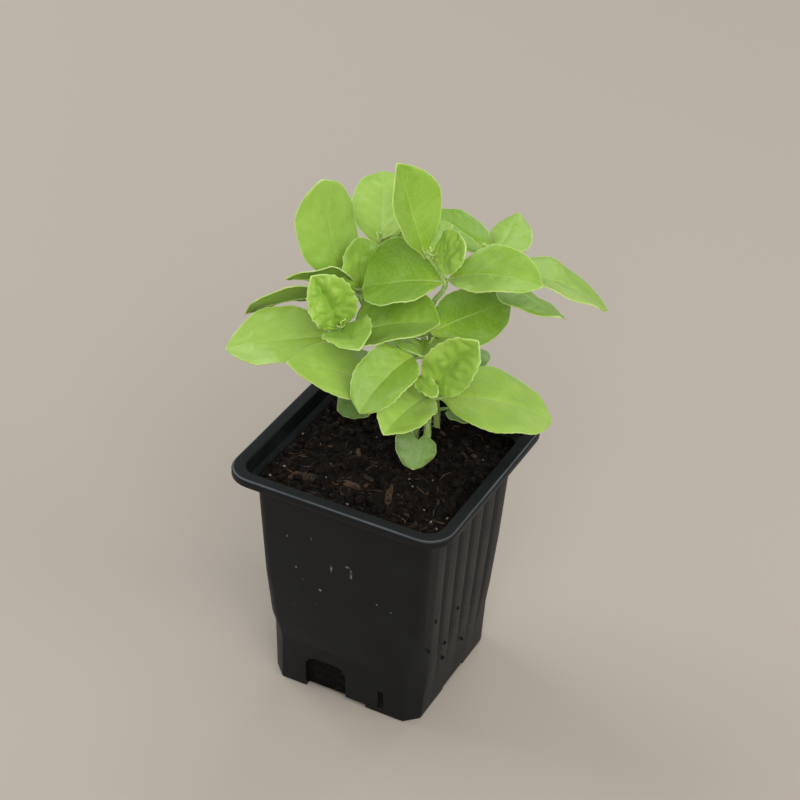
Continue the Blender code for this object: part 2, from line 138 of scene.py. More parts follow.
def apply_modifier(item, kind, **settings):
    """Add a modifier to an object, set it and apply it."""
    take(item)
    modifier = item.modifiers.new(kind.lower(), kind)
    for name, value in settings.items():
        setattr(modifier, name, value)
    bpy.ops.object.modifier_apply(modifier=modifier.name)


# %% [markdown]
# ## Pot shape
# The real pot is a thin sheet of plastic, injected in one go: a square tub with flat corners at the foot
# that turn round towards the top, fluted X sides, a shoulder, a collar and a turned-down rim. A sheet like
# this is built level by level: a plane with bevelled corners gives one outline, its face is taken out, and
# each outline is bridged to the one below.

# %% Pot sizes, in millimetres
POT_HEIGHT = 78.0
RIM_HALF, RIM_CORNER = 35.0, 8.4
LIP_THICKNESS = 1.0
OPENING_HALF, OPENING_CORNER = 31.0, 5.0
COLLAR_BOTTOM, SHOULDER_BOTTOM = 73.2, 70.0
INNER_COLLAR, INNER_SHOULDER = 73.25, 69.6
BODY_TOP_HALF, BASE_HALF = 28.0, 24.4
WALL, FLOOR = 0.9, 1.1
FLUTES, FLUTE_DEPTH = 6, 0.65
FLUTE_PROFILE = (0.0, 0.85, 1.0, 1.0, 1.0, 0.85)
CORNER_STEPS = 7


def body_half(height):
    """Outer half width of the tapered body."""
    return BASE_HALF + (BODY_TOP_HALF - BASE_HALF) * height / SHOULDER_BOTTOM


def smooth_step(value):
    value = min(max(value, 0.0), 1.0)
    return value * value * (3.0 - 2.0 * value)


# half width, corner, height, flute depth, how flat the corner is
OUTSIDE = [
    (BASE_HALF - 0.6, 3.6, 0.0, 0.0, 1.0),
    (BASE_HALF - 0.15, 3.9, 0.25, 0.0, 1.0),
    (BASE_HALF, 4.0, 0.8, 0.0, 1.0),
    (body_half(2.5), 4.2, 2.5, 0.0, 1.0),
    (body_half(10.0), 4.8, 10.0, FLUTE_DEPTH * 0.15, 1.0),
    (body_half(17.0), 5.3, 17.0, FLUTE_DEPTH * 0.5, 1.0),
    (body_half(24.0), 4.4, 24.0, FLUTE_DEPTH * 0.85, 0.4),
    (body_half(40.0), 3.6, 40.0, FLUTE_DEPTH, 0.0),
    (body_half(67.5), 3.4, 67.5, FLUTE_DEPTH, 0.0),
    (body_half(69.2), 3.5, 69.2, FLUTE_DEPTH * 0.5, 0.0),
    (BODY_TOP_HALF, 3.6, 70.0, 0.0, 0.0),
    (OPENING_HALF + 0.4, 5.4, COLLAR_BOTTOM, 0.0, 0.0),
    (OPENING_HALF + 0.9, 5.8, 76.95, 0.0, 0.0),
    (RIM_HALF - LIP_THICKNESS, RIM_CORNER - LIP_THICKNESS, 77.0, 0.0, 0.0),
    (RIM_HALF - LIP_THICKNESS, RIM_CORNER - LIP_THICKNESS, 75.55, 0.0, 0.0),
    (RIM_HALF, RIM_CORNER, 75.5, 0.0, 0.0),
    (RIM_HALF, RIM_CORNER, 77.4, 0.0, 0.0),
    (RIM_HALF - 0.6, RIM_CORNER - 0.5, POT_HEIGHT, 0.0, 0.0),
    (OPENING_HALF + 0.3, OPENING_CORNER + 0.2, 77.97, 0.0, 0.0),
]
# the inner side of the body: height, corner, how flat the corner is
INNER_BODY = [
    (INNER_SHOULDER, 3.2, 0.0), (40.0, 3.2, 0.0), (24.0, 4.0, 0.4), (17.0, 4.8, 1.0), (10.0, 4.3, 1.0),
    (FLOOR, 3.5, 1.0),
]
INSIDE = [
    (OPENING_HALF, OPENING_CORNER, 77.7, 0.0, 0.0),
    (OPENING_HALF - 0.5, OPENING_CORNER - 0.3, INNER_COLLAR, 0.0, 0.0),
]
for height, corner, flat in INNER_BODY:
    INSIDE.append((body_half(height) - WALL, corner, height + 0.05, 0.0, flat))
print(len(OUTSIDE), "levels outside and", len(INSIDE), "inside")


# %% Building a thin wall from levels
def add_level(half, corner, height, flute, flat):
    """In edit mode, add one outline of the pot: a plane with bevelled corners and no face."""
    bpy.ops.mesh.primitive_plane_add(size=2 * half * MM, location=(0, 0, height * MM))
    bpy.ops.mesh.bevel(
        affect="VERTICES", offset=corner * MM, segments=CORNER_STEPS, profile=0.5 - 0.25 * flat
    )
    bpy.ops.mesh.delete(type="ONLY_FACE")
    straight = half - corner

    def on_level(place):
        return abs(place.z - height) < 0.01

    def on_fluted_edge(place, _):
        return on_level(place) and abs(place.y) < 0.1 and abs(abs(place.x) - half) < 0.01

    pick("EDGE", on_fluted_edge)
    columns = len(FLUTE_PROFILE) * FLUTES
    bpy.ops.mesh.subdivide(number_cuts=columns - 1)
    for phase, depth in enumerate(FLUTE_PROFILE):
        for side in (-1, 1):

            def on_flute(place, _, phase=phase, side=side):
                step = (place.y + straight) / (2 * straight) * columns
                near = abs(step - round(step)) < 0.01 and round(step) % len(FLUTE_PROFILE) == phase
                return on_level(place) and near and abs(place.x - side * half) < 0.01

            if flute * depth > 0.0:
                pick("VERT", on_flute)
                bpy.ops.transform.translate(value=(side * depth * flute * MM, 0, 0))


def wall_of_levels(name, levels):
    """A closed skin through a list of levels, its first and last filled."""
    item = put(name, bpy.data.meshes.new(name))
    with editing(item):
        for index, level in enumerate(levels):
            add_level(*level)
            if index:
                heights = (level[2], levels[index - 1][2])
                pick("VERT", lambda place, _: min(abs(place.z - height) for height in heights) < 0.01)
                bpy.ops.mesh.bridge_edge_loops()
        for height in (levels[0][2], levels[-1][2]):
            pick("VERT", lambda place, _: abs(place.z - height) < 0.01)
            bpy.ops.mesh.edge_face_add()
        bpy.ops.mesh.select_all(action="SELECT")
        bpy.ops.mesh.normals_make_consistent(inside=False)
    return item


pot = wall_of_levels("square_nursery_pot", OUTSIDE + INSIDE)
print("pot wall", len(pot.data.polygons), "faces")

# %% [markdown]
# ## Pot edges and openings
# Moulded edges are never knife-sharp, so the shell's crisp edges get a fine bevel, which also catches the
# light along the rim. The drainage slots, the shallow notches under each side and the four floor holes are
# then cut with boolean modifiers, as a cutter in the real tool would leave them.

# %% Soft moulded edges
apply_modifier(pot, "BEVEL", width=0.22 * MM, segments=2, limit_method="ANGLE", angle_limit=math.radians(38))
print("pot wall with soft edges", len(pot.data.polygons), "faces")


# %% Cutting the openings
def side_cutter(along, bottom, top, width, turn, rounding=0.0):
    """A block through one side wall, with its two upper edges rounded."""
    place = Matrix.Rotation(turn, 3, "Z") @ Vector((along, -BASE_HALF, (top + bottom) / 2)) * MM
    bpy.ops.mesh.primitive_cube_add(
        size=1.0, location=place, rotation=(0, 0, turn), scale=(width * MM, 6.0 * MM, (top - bottom) * MM)
    )
    cutter = bpy.context.object
    bpy.ops.object.transform_apply(location=False, rotation=False, scale=True)
    if rounding:
        with editing(cutter):
            pick("EDGE", lambda middle, run: middle.z > 0 and abs(run.y) > abs(run.x) + abs(run.z))
            bpy.ops.mesh.bevel(affect="EDGES", offset=rounding * MM, segments=8, profile=0.5)
    return cutter


def cut_away(item, cutters):
    """Join cutters that don't touch and take them out of an object."""
    take(cutters[0])
    for cutter in cutters:
        cutter.select_set(True)
    bpy.ops.object.join()
    tool = bpy.context.object
    apply_modifier(item, "BOOLEAN", operation="DIFFERENCE", object=tool, solver="EXACT")
    bpy.data.objects.remove(tool)


# place along the side, bottom, top and width of each opening
NOTCH, ARCH, SLIT = (1.0, -0.5, 1.6, 14.0), (-5.5, -0.5, 12.5, 13.5), (13.0, 2.6, 9.0, 1.8)
ARCH_ROUNDING, SLIT_ROUNDING = 4.0, 0.5
FLOOR_HOLE_PLACE, FLOOR_HOLE_RADIUS = 11.5, 3.5
bpy.ops.object.select_all(action="DESELECT")
quarter_turns = [math.radians(90 * side) for side in range(4)]
cut_away(pot, [side_cutter(*NOTCH, turn) for turn in quarter_turns])
slots = [side_cutter(*ARCH, turn, ARCH_ROUNDING) for turn in quarter_turns[::2]]
slots += [side_cutter(*SLIT, turn, SLIT_ROUNDING) for turn in quarter_turns[::2]]
cut_away(pot, slots)
holes = []
for turn in quarter_turns:
    place = Matrix.Rotation(turn, 3, "Z") @ Vector((FLOOR_HOLE_PLACE, FLOOR_HOLE_PLACE, 0.5)) * MM
    bpy.ops.mesh.primitive_cylinder_add(
        vertices=32, radius=FLOOR_HOLE_RADIUS * MM, depth=4 * MM, location=place
    )
    holes.append(bpy.context.object)
cut_away(pot, holes)
take(pot)
bpy.ops.object.shade_smooth_by_angle(angle=math.radians(32))
# How far each point lies on the lip's outer edge, where a thin pale line of painted highlight goes
HIGHLIGHT_HEIGHT, HIGHLIGHT_REACH, HIGHLIGHT_SOFTNESS = 77.7, 0.7, 0.2
edge_wear = pot.data.attributes.new("edge_wear", "FLOAT", "POINT")
for vertex in pot.data.vertices:
    spot = vertex.co / MM
    reach = [max(abs(value) - RIM_HALF + RIM_CORNER, 0.0) for value in (spot.x, spot.y)]
    from_edge = RIM_CORNER - math.hypot(*reach)
    on_top = smooth_step((spot.z - HIGHLIGHT_HEIGHT) / HIGHLIGHT_SOFTNESS)
    edge_wear.data[vertex.index].value = on_top * smooth_step((HIGHLIGHT_REACH - from_edge) / HIGHLIGHT_SOFTNESS)
print("pot", len(pot.data.polygons), "faces, thinnest wall", WALL, "mm")

# %% [markdown]
# ## Materials: the helpers
# Colours are picked as sRGB hex values and turned to linear by one function. A second one adds a node with
# its settings and inputs and gives back one of its outputs, so a pattern is built up as a chain of such
# outputs. Each new material hands out that function for its own tree.


# %% Colour and node helpers
def hex_colour(code):
    """Linear colour of an sRGB hex value."""
    parts = [int(code[start : start + 2], 16) / 255 for start in (1, 3, 5)]
    return (*[part / 12.92 if part <= 0.04045 else ((part + 0.055) / 1.055) ** 2.4 for part in parts], 1.0)


def add_node(tree, kind, settings, inputs, output=0):
    """Add one node, set it, fill or link its inputs, and give back one output.

    The inputs are a list in the sockets' order, or a dictionary by their name or number.
    """
    node = tree.nodes.new(kind)
    for name, value in settings.items():
        setattr(node, name, value)
    for key, value in inputs.items() if isinstance(inputs, dict) else enumerate(inputs):
        if isinstance(value, bpy.types.NodeSocket):
            tree.links.new(value, node.inputs[key])
        else:
            node.inputs[key].default_value = hex_colour(value) if isinstance(value, str) else value
    return node.outputs[output]


def new_material(name, **constants):
    """A material with one Principled shader, whose constant values are set on its own sockets.

    Gives back the material, the add function of its tree, and the shader.
    """
    material = bpy.data.materials.new(name)
    material.use_nodes = True
    shader = material.node_tree.nodes["Principled BSDF"]
    for key, value in constants.items():
        shader.inputs[key.replace("_", " ")].default_value = value
    return material, partial(add_node, material.node_tree), shader


def link(shader, **outputs):
    """Link outputs to the shader's inputs, each named with an underscore for a space."""
    for key, output in outputs.items():
        shader.id_data.links.new(output, shader.inputs[key.replace("_", " ")])


# Kinds and settings that come back in every material. A ramp's inputs are its value, its two limits and
# what they become. A mix has its share at 0, its colours at 6 and 7 and the mixed colour as output 2.
COORDINATES, NOISE, CELLS = "ShaderNodeTexCoord", "ShaderNodeTexNoise", "ShaderNodeTexVoronoi"
MATH, RAMP, MIX, BUMP = "ShaderNodeMath", "ShaderNodeMapRange", "ShaderNodeMix", "ShaderNodeBump"
SPLIT, ATTRIBUTE = "ShaderNodeSeparateXYZ", "ShaderNodeAttribute"
MULTIPLY, ADD, SUBTRACT = {"operation": "MULTIPLY"}, {"operation": "ADD"}, {"operation": "SUBTRACT"}
MULTIPLY_ADD, ABSOLUTE = {"operation": "MULTIPLY_ADD"}, {"operation": "ABSOLUTE"}
SMOOTH, COLOUR = {"interpolation_type": "SMOOTHSTEP"}, {"data_type": "RGBA"}


def patchy_material(name, tones, patch_mm, detail, limits=None, **constants):
    """A material of two tones in soft patches. Gives back also its coordinates and its colour."""
    material, add, shader = new_material(name, **constants)
    place = add(COORDINATES, {}, {}, "Object")
    share = add(NOISE, {}, {"Vector": place, "Scale": 1 / (patch_mm * MM), "Detail": detail})
    if limits:
        share = add(RAMP, SMOOTH, [share, *limits])
    tone = add(MIX, COLOUR, {0: share, 6: tones[0], 7: tones[1]}, 2)
    link(shader, Base_Color=tone)
    return material, add, shader, place, tone


# %% [markdown]
# ## Pot plastic
# Nursery pots are black polypropylene, often recycled, injection-moulded. The tool leaves a fine matt
# grain, so highlights are broad and soft, and the black reads as a cool dark grey. Watering leaves thin
# dried marks and a few grains of potting mix near the foot.

# %% Black polypropylene
# Polypropylene, injection-moulded in a grained tool: the skin scatters light, so highlights are wide and
# weak and the sides stay nearly black, a little bluer where they face the sky.
plastic, add, shader = new_material("moulded_polypropylene", IOR=1.49, Specular_IOR_Level=0.26, Metallic=0.0)
place = add(COORDINATES, {}, {}, "Object")
grain, cloud = [
    add(NOISE, {}, {"Vector": place, "Scale": 1 / (size * MM), "Detail": detail})
    for size, detail in ((0.45, 3.0), (14, 4.0))
]
film = add(RAMP, SMOOTH, [cloud, 0.42, 0.72])
# Dried splashes: small pale spots, soft at their edge, where the film of lime is thickest
spots = add(CELLS, {}, {"Vector": place, "Scale": 1 / (7 * MM), "Randomness": 1.0}, "Distance")
size = add(RAMP, SMOOTH, [cloud, 0.45, 0.7, 0.004, 0.045])
inside_spot = add(MATH, SUBTRACT, [spots, size])
spot = add(RAMP, SMOOTH, [inside_spot, 0.0, 0.04, 1.0, 0.0])
# Dust of the mix clings near the foot
height = add(SPLIT, {}, [place], 2)
foot = add(RAMP, SMOOTH, [height, 26 * MM, 0.0])
dust = add(RAMP, SMOOTH, [grain, 0.5, 0.75])
soiling = add(MATH, MULTIPLY, [foot, dust])
soiling = add(MATH, MULTIPLY, [soiling, 0.2])
spot = add(MATH, MULTIPLY, [spot, 0.14])
# Painted highlight: the lip's outer edge is painted paler and made smoother, more in some places than in
# others
rim_highlight = add(ATTRIBUTE, {"attribute_name": "edge_wear"}, {}, "Fac")
uneven = add(RAMP, SMOOTH, [cloud, 0.3, 0.6, 0.35, 0.75])
rim_highlight = add(MATH, MULTIPLY, [rim_highlight, uneven])
body = "#080B0D"
# The last tone, the palest, is a painted highlight along the lip's outer edge
for share, tone in ((film, "#0E1215"), (soiling, "#2E261E"), (spot, "#6C7072"), (rim_highlight, "#687176")):
    body = add(MIX, COLOUR, {0: share, 6: body, 7: tone}, 2)
rough = add(RAMP, SMOOTH, [grain, 0.3, 0.7, 0.40, 0.52])
rough = add(MATH, MULTIPLY_ADD, [film, 0.08, rough])
# The lip's flat top was against the rougher half of the tool, so it stays dull beside its highlighted edge
lip_top = add(RAMP, SMOOTH, [height, 77.3 * MM, 77.8 * MM])
rough = add(MATH, MULTIPLY_ADD, [lip_top, 0.22, rough])
rough = add(MATH, MULTIPLY_ADD, [rim_highlight, -0.35, rough])
bump = add(BUMP, {}, {"Strength": 0.35, "Distance": 0.05 * MM, "Height": grain})
link(shader, Base_Color=body, Roughness=rough, Normal=bump)
pot.data.materials.append(plastic)
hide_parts("pot")
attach(pot, "root")
print("pot finish", plastic.name)

# %% [markdown]
# ## Potting mix body
# Potting mix is peat and coir with composted bark. Its surface is a layer of loose clods and grains, so the
# top is a fine grid that three procedural textures push up and down at three sizes. Its rim is extruded
# down along the pot's wall and closed at the bottom, because the drainage slots show it from the side.

# %% Potting mix sizes
# Millimetres. The collar widens above the shoulder, and the surface meets it at a share of the way up.
SOIL_LEVEL, SOIL_GAP = 72.0, 0.3
EDGE_SHARE = (SOIL_LEVEL - INNER_SHOULDER) / (INNER_COLLAR - INNER_SHOULDER)
SOIL_HALF = BODY_TOP_HALF - WALL + (OPENING_HALF - 0.5 - BODY_TOP_HALF + WALL) * EDGE_SHARE - SOIL_GAP
SOIL_CORNER = 4.2
ROOTS = {
    "front_left": (3.5, 9.5),
    "back_left": (4.5, 17.0),
    "tall": (4.5, 22.5),
    "front": (7.0, 10.5),
    "middle": (1.8, 13.8),
    "back_right": (0.8, 23.8),
    "back": (-3.5, 23.0),
}
print("mix is", round(2 * SOIL_HALF, 1), "mm across at its surface")


# %% Grid, sides and bottom
bpy.ops.object.select_all(action="DESELECT")
bpy.ops.mesh.primitive_grid_add(
    x_subdivisions=170, y_subdivisions=170, size=2 * SOIL_HALF * MM, location=(0, 0, SOIL_LEVEL * MM)
)
mix = bpy.context.object
mix.name = "potting_mix_body"
bpy.ops.object.transform_apply(location=True, rotation=False, scale=False)
straight = SOIL_HALF - SOIL_CORNER
for vertex in mix.data.vertices:
    beyond = Vector((max(abs(vertex.co.x) / MM - straight, 0.0), max(abs(vertex.co.y) / MM - straight, 0.0)))
    if beyond.x > 0 and beyond.y > 0:
        pulled = beyond.normalized() * max(beyond.x, beyond.y)
        vertex.co.x = math.copysign((straight + pulled.x) * MM, vertex.co.x)
        vertex.co.y = math.copysign((straight + pulled.y) * MM, vertex.co.y)
# half width, height, corner and how flat the corner is, from the pot's inner side
WALL_LEVELS = [
    (body_half(height) - WALL - SOIL_GAP, height, corner, flat) for height, corner, flat in INNER_BODY
]
WALL_LEVELS[-1] = (WALL_LEVELS[-1][0], FLOOR + SOIL_GAP, *WALL_LEVELS[-1][2:])
with editing(mix):
    bpy.ops.mesh.select_mode(type="VERT")
    bpy.ops.mesh.region_to_loop()
    half_now, height_now = SOIL_HALF, SOIL_LEVEL
    for half_next, height_next, _, _ in WALL_LEVELS:
        bpy.ops.mesh.extrude_region_move(
            TRANSFORM_OT_translate={"value": (0, 0, (height_next - height_now) * MM)}
        )
        factor = half_next / half_now
        bpy.ops.transform.resize(value=(factor, factor, 1.0))
        half_now, height_now = half_next, height_next
    bpy.ops.mesh.edge_face_add()
    bpy.ops.mesh.select_all(action="SELECT")
    bpy.ops.mesh.normals_make_consistent(inside=False)
# Cut the corners as the pot's are: a round corner takes the first share off x + y, a flat one the second too
ROUND_CUT, FLAT_CUT, CORNER_GAP = 0.586, 0.414, 0.5
for half, height, corner, flat in WALL_LEVELS:
    reach = 2 * half - corner * (ROUND_CUT + FLAT_CUT * flat) - CORNER_GAP
    for vertex in mix.data.vertices:
        spot = vertex.co / MM
        if abs(spot.z - height) < 0.05 and abs(spot.x) + abs(spot.y) > reach:
            too_far = (abs(spot.x) + abs(spot.y) - reach) / 2
            vertex.co.x = math.copysign(abs(spot.x) - too_far, spot.x) * MM
            vertex.co.y = math.copysign(abs(spot.y) - too_far, spot.y) * MM
print("mix", len(mix.data.polygons), "faces")

# %% Clods, crumbs and grains
surface = mix.vertex_groups.new(name="surface")
for vertex in mix.data.vertices:
    spot = vertex.co / MM
    to_wall = SOIL_HALF - max(abs(spot.x), abs(spot.y))
    if spot.z > SOIL_LEVEL - 0.5:
        surface.add([vertex.index], 0.3 + 0.7 * smooth_step(to_wall / 3.0), "REPLACE")
for name, kind, size_mm, strength_mm in (
    ("clods", "CLOUDS", 7.0, 2.6),
    ("crumbs", "VORONOI", 2.6, 1.5),
    ("grains", "CLOUDS", 0.9, 0.7),
):
    texture = bpy.data.textures.new(name, kind)
    texture.noise_scale = size_mm * MM
    if kind == "VORONOI":
        texture.distance_metric = "DISTANCE_SQUARED"
        texture.noise_intensity = 1.0
    apply_modifier(
        mix, "DISPLACE", texture=texture, texture_coords="LOCAL", direction="Z", vertex_group="surface",
        mid_level=0.5, strength=strength_mm * MM,
    )
take(mix)
bpy.ops.object.shade_smooth()
tops = [vertex.co.z / MM for vertex in mix.data.vertices if vertex.co.z > 68 * MM]
print("mix surface from", round(min(tops), 1), "to", round(max(tops), 1), "mm")


# %% Reading the surface
def surface_height(x, y):
    """Height of the mix at a place in millimetres, found by a ray from above."""
    hit, place, _, _ = mix.ray_cast(Vector((x, y, 90.0)) * MM, Vector((0, 0, -1)))
    return place.z / MM if hit else SOIL_LEVEL


def inside_pot(x, y, margin):
    """Whether a place is on the mix and at least a margin away from the pot's wall."""
    reach = SOIL_HALF - margin
    corner = max(SOIL_CORNER - margin, 0.5)
    beyond = Vector((max(abs(x) - reach + corner, 0.0), max(abs(y) - reach + corner, 0.0)))
    return max(abs(x), abs(y)) < reach and beyond.length < corner


def random_spots(count, draw_size, margin, stem_gap=-math.inf):
    """Give random places on the mix, each with a drawn size, clear of the wall and of the stems."""
    while count:
        x, y = random.uniform(-SOIL_HALF, SOIL_HALF), random.uniform(-SOIL_HALF, SOIL_HALF)
        size = draw_size()
        to_stem = min(math.hypot(x - root_x, y - root_y) for root_x, root_y in ROOTS.values())
        if inside_pot(x, y, margin(size)) and to_stem > stem_gap + size:
            count -= 1
            yield x, y, size


# %% [markdown]
# ## Potting mix material
# Moist peat is nearly black-brown. Coir turns it reddish in places, and where the surface has dried it is
# lighter. Small wet facets glint, which is drawn by a lower roughness in patches.


# %% Peat and coir
def mix_material(name, dark, light, red, dry, grain_mm):
    """Peat-like crumb: two browns by clod, a red-brown by fibre, and patches that are moist."""
    material, add, shader = new_material(name, IOR=1.4, Specular_IOR_Level=0.2)
    place = add(COORDINATES, {}, {}, "Object")
    clod, fibre, grain = [
        add(NOISE, {}, {"Vector": place, "Scale": 1 / (size * MM), "Detail": detail})
        for size, detail in ((4.5, 5.0), (1.6, 4.0), (grain_mm, 4.0))
    ]
    clods = add(RAMP, SMOOTH, [clod, 0.35, 0.68])
    reds = add(RAMP, SMOOTH, [fibre, 0.56, 0.74, 0.0, 0.8])
    drier = add(RAMP, SMOOTH, [grain, 0.68, 0.8, 0.0, 0.5])
    height = add(SPLIT, {}, [place], 2)
    # The mix is made darker towards the bottom, nearly black at the height of the slots
    darker_below = add(RAMP, SMOOTH, [height, 8 * MM, 40 * MM, 0.9, 0.0])
    colour = dark
    for share, tone in ((clods, light), (reds, red), (drier, dry), (darker_below, "#050302")):
        colour = add(MIX, COLOUR, {0: share, 6: colour, 7: tone}, 2)
    moist = add(RAMP, SMOOTH, [fibre, 0.35, 0.5, 0.5, 0.92])
    bump = add(BUMP, {}, {"Strength": 0.9, "Distance": 0.25 * MM, "Height": grain})
    link(shader, Base_Color=colour, Roughness=moist, Normal=bump)
    return material


# Milled peat with coir dust, kept moist: water fills its pores, so it swallows light and only wet facets
# glint.
peat = mix_material("moist_peat_and_coir", "#070504", "#140E09", "#24160C", "#33271B", 0.6)
mix.data.materials.append(peat)
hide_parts("potting_mix")
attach(mix, "root")
print("mix finish", peat.name)

# %% [markdown]
# ## Loose crumbs, bark, fibres and flecks
# A crumb is an irregular lump of one to three millimetres. A few are shaped from a cube: subdivided,
# rounded with To Sphere, then roughened, and copied many times. Bark is a flat splinter with torn ends, and
# fibres are thin curved threads. The pieces seen best lie where they lie on the real surface.

# %% Shaping crumbs and splinters
random.seed(7)


def shaped_lump(name, seed, roundness, rough_mm):
    """A rough lump one millimetre in radius, from a cube."""
    bpy.ops.object.select_all(action="DESELECT")
    bpy.ops.mesh.primitive_cube_add(size=1.6 * MM)
    lump = bpy.context.object
    lump.name = name
    with editing(lump):
        bpy.ops.mesh.subdivide(number_cuts=1)
        bpy.ops.transform.tosphere(value=roundness)
        bpy.ops.transform.vertex_random(offset=rough_mm * MM, uniform=0.6, seed=seed)
    return lump


def shaped_splinter(name, seed):
    """A flat splinter one millimetre long, wide and thick at unit scale, with torn ends."""
    bpy.ops.object.select_all(action="DESELECT")
    bpy.ops.mesh.primitive_cube_add(size=1.0 * MM)
    splinter = bpy.context.object
    splinter.name = name
    with editing(splinter):
        pick("EDGE", lambda _, run: abs(run.x) > abs(run.y) + abs(run.z))
        bpy.ops.mesh.subdivide(number_cuts=5)
        pick("FACE", lambda _, facing: abs(facing.z) > 0.5)
        bpy.ops.mesh.subdivide(number_cuts=1)
        bpy.ops.mesh.select_all(action="SELECT")
        bpy.ops.transform.vertex_random(offset=0.09 * MM, uniform=0.0, seed=seed)
        pick("VERT", lambda spot, _: abs(spot.x) > 0.42)
        bpy.ops.transform.resize(value=(1.0, 0.55, 0.6))
        bpy.ops.transform.vertex_random(offset=0.08 * MM, uniform=0.0, seed=seed + 1)
    return splinter


def scatter(name, models, places, material):
    """Copy model meshes to places, each a matrix, and join them as one piece."""
    vertices, faces = [], []
    for choice, place in places:
        model = models[choice % len(models)]
        start = len(vertices)
        vertices += [place @ vertex.co for vertex in model.data.vertices]
        faces += [[start + corner for corner in face.vertices] for face in model.data.polygons]
    mesh = bpy.data.meshes.new(name)
    mesh.from_pydata(vertices, [], faces)
    mesh.materials.append(material)
    piece = put(name, mesh)
    for model in models:
        bpy.data.objects.remove(model)
    take(piece)
    bpy.ops.object.shade_smooth_by_angle(angle=math.radians(50))
    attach(piece, "root")
    print(name, len(places), "pieces,", len(faces), "faces")


def lie(x, y, sink, heading, pitch, roll, size):
    """A matrix that lays a shape of a given size on the mix at x and y."""
    place = Matrix.Translation(Vector((x, y, surface_height(x, y) + sink)) * MM)
    turn = Matrix.Rotation(math.radians(heading), 4, "Z") @ Matrix.Rotation(math.radians(pitch), 4, "Y")
    return place @ turn @ Matrix.Rotation(math.radians(roll), 4, "X") @ Matrix.Diagonal((*size, 1.0))


# %% Crumbs
CRUMBS, BARK_PIECES, FLECKS, FIBRES, STEM_GAP = 900, 70, 28, 60, 1.2
crumb_models = [shaped_lump(f"crumb_{index}", index, 0.75, 0.32) for index in range(8)]
crumb_places = []
crumb_spots = random_spots(
    CRUMBS, lambda: 0.3 + 1.0 * random.random() ** 2.2, lambda radius: radius + 0.2, STEM_GAP
)
for x, y, radius in crumb_spots:
    size = [radius * random.uniform(0.75, 1.25) for _ in range(3)]
    turn = (random.uniform(0, 360), random.uniform(-40, 40), random.uniform(-40, 40))
    crumb_places.append((random.randrange(8), lie(x, y, radius * 0.25, *turn, size)))
# Loose crumbs of the same peat, a little drier on top: each catches light on its upper side only.
crumb_peat = mix_material("loose_peat_crumb", "#080604", "#1A120B", "#2A190E", "#3E3122", 0.4)
scatter("loose_crumbs", crumb_models, crumb_places, crumb_peat)

# %% Bark splinters
# Composted pine bark, milled: torn across the grain, matt and red-brown, with lighter wood in its fresh
# faces.
bark, add, shader, place, tone = patchy_material(
    "composted_pine_bark", ("#1A110A", "#3F2C1C"), 6.0, 2.0, (0.42, 0.62), IOR=1.45, Roughness=0.8,
    Specular_IOR_Level=0.3,
)
grain = add(NOISE, {}, {"Vector": place, "Scale": 1 / (0.5 * MM), "Detail": 4.0})
streaks = add(RAMP, SMOOTH, [grain, 0.5, 0.75, 0.0, 0.5])
tone = add(MIX, COLOUR, {0: streaks, 6: tone, 7: "#665038"}, 2)
bump = add(BUMP, {}, {"Strength": 0.6, "Distance": 0.15 * MM, "Height": grain})
link(shader, Base_Color=tone, Normal=bump)

splinter_models = [shaped_splinter(f"splinter_{index}", index) for index in range(6)]
# x, y, length, width, heading of the splinters that are seen best
SEEN_BARK = [
    (7.8, -13.8, 9.5, 2.0, -66),
    (-8.9, -1.1, 4.2, 1.2, -54),
    (19.8, 12.8, 9.0, 0.8, -35),
    (20.0, 15.6, 1.9, 1.2, -5),
    (-1.1, -9.9, 3.7, 1.3, -11),
    (-3.2, -15.9, 6.0, 2.2, -9),
    (-19.0, -18.4, 11.0, 3.0, 10),
    (23.3, -9.9, 3.2, 0.7, -49),
    (15.9, -19.3, 2.2, 1.0, -4),
    (20.8, -22.8, 2.2, 0.9, -24),
]
splinter_places = []
for index, (x, y, length, width, heading) in enumerate(SEEN_BARK):
    splinter_places.append((index, lie(x, y, 0.5, heading, random.uniform(-6, 6), 8, (length, width, 0.7))))
more_bark = random_spots(
    BARK_PIECES - len(SEEN_BARK), lambda: 1.4 + 4.0 * random.random() ** 2.5, lambda length: length / 2 + 0.3
)
for x, y, length in more_bark:
    size = (length, random.uniform(0.3, 1.0), random.uniform(0.3, 0.6))
    turn = (random.uniform(0, 360), random.uniform(-14, 14), random.uniform(-25, 25))
    splinter_places.append((random.randrange(6), lie(x, y, 0.25, *turn, size)))
scatter("bark_splinters", splinter_models, splinter_places, bark)

# %% Pale flecks
# Grains of dried lime and sand from the water and the mix: chalky, dull, and the lightest thing in the pot.
fleck = patchy_material("dried_pale_grain", ("#4E483F", "#8A8275"), 1.2, 3.0, Roughness=0.7, IOR=1.45)[0]
fleck_models = [shaped_lump(f"fleck_{index}", 20 + index, 0.5, 0.3) for index in range(4)]
SEEN_FLECKS = [
    (-25.8, -22.9), (-24.2, -17.6), (-27.2, -16.5), (-6.6, -21.7), (-0.4, -23.4), (4.0, -18.2),
    (26.8, -15.0), (23.5, -18.6), (26.4, -20.9), (23.5, 15.3), (19.0, -13.8), (-28.1, 0.2),
]
fleck_places = []
for index, (x, y) in enumerate(SEEN_FLECKS):
    fleck_places.append((index, lie(x, y, 0.35, 40 * index, 20, 10, (0.45, 0.3, 0.25))))
for x, y, _ in random_spots(FLECKS - len(SEEN_FLECKS), lambda: 0.6, lambda margin: margin):
    radius = random.uniform(0.12, 0.32)
    size = (radius * random.uniform(1, 1.8), radius, radius * 0.8)
    fleck_places.append((random.randrange(4), lie(x, y, 0.2, random.uniform(0, 360), 0, 0, size)))
scatter("pale_flecks", fleck_models, fleck_places, fleck)


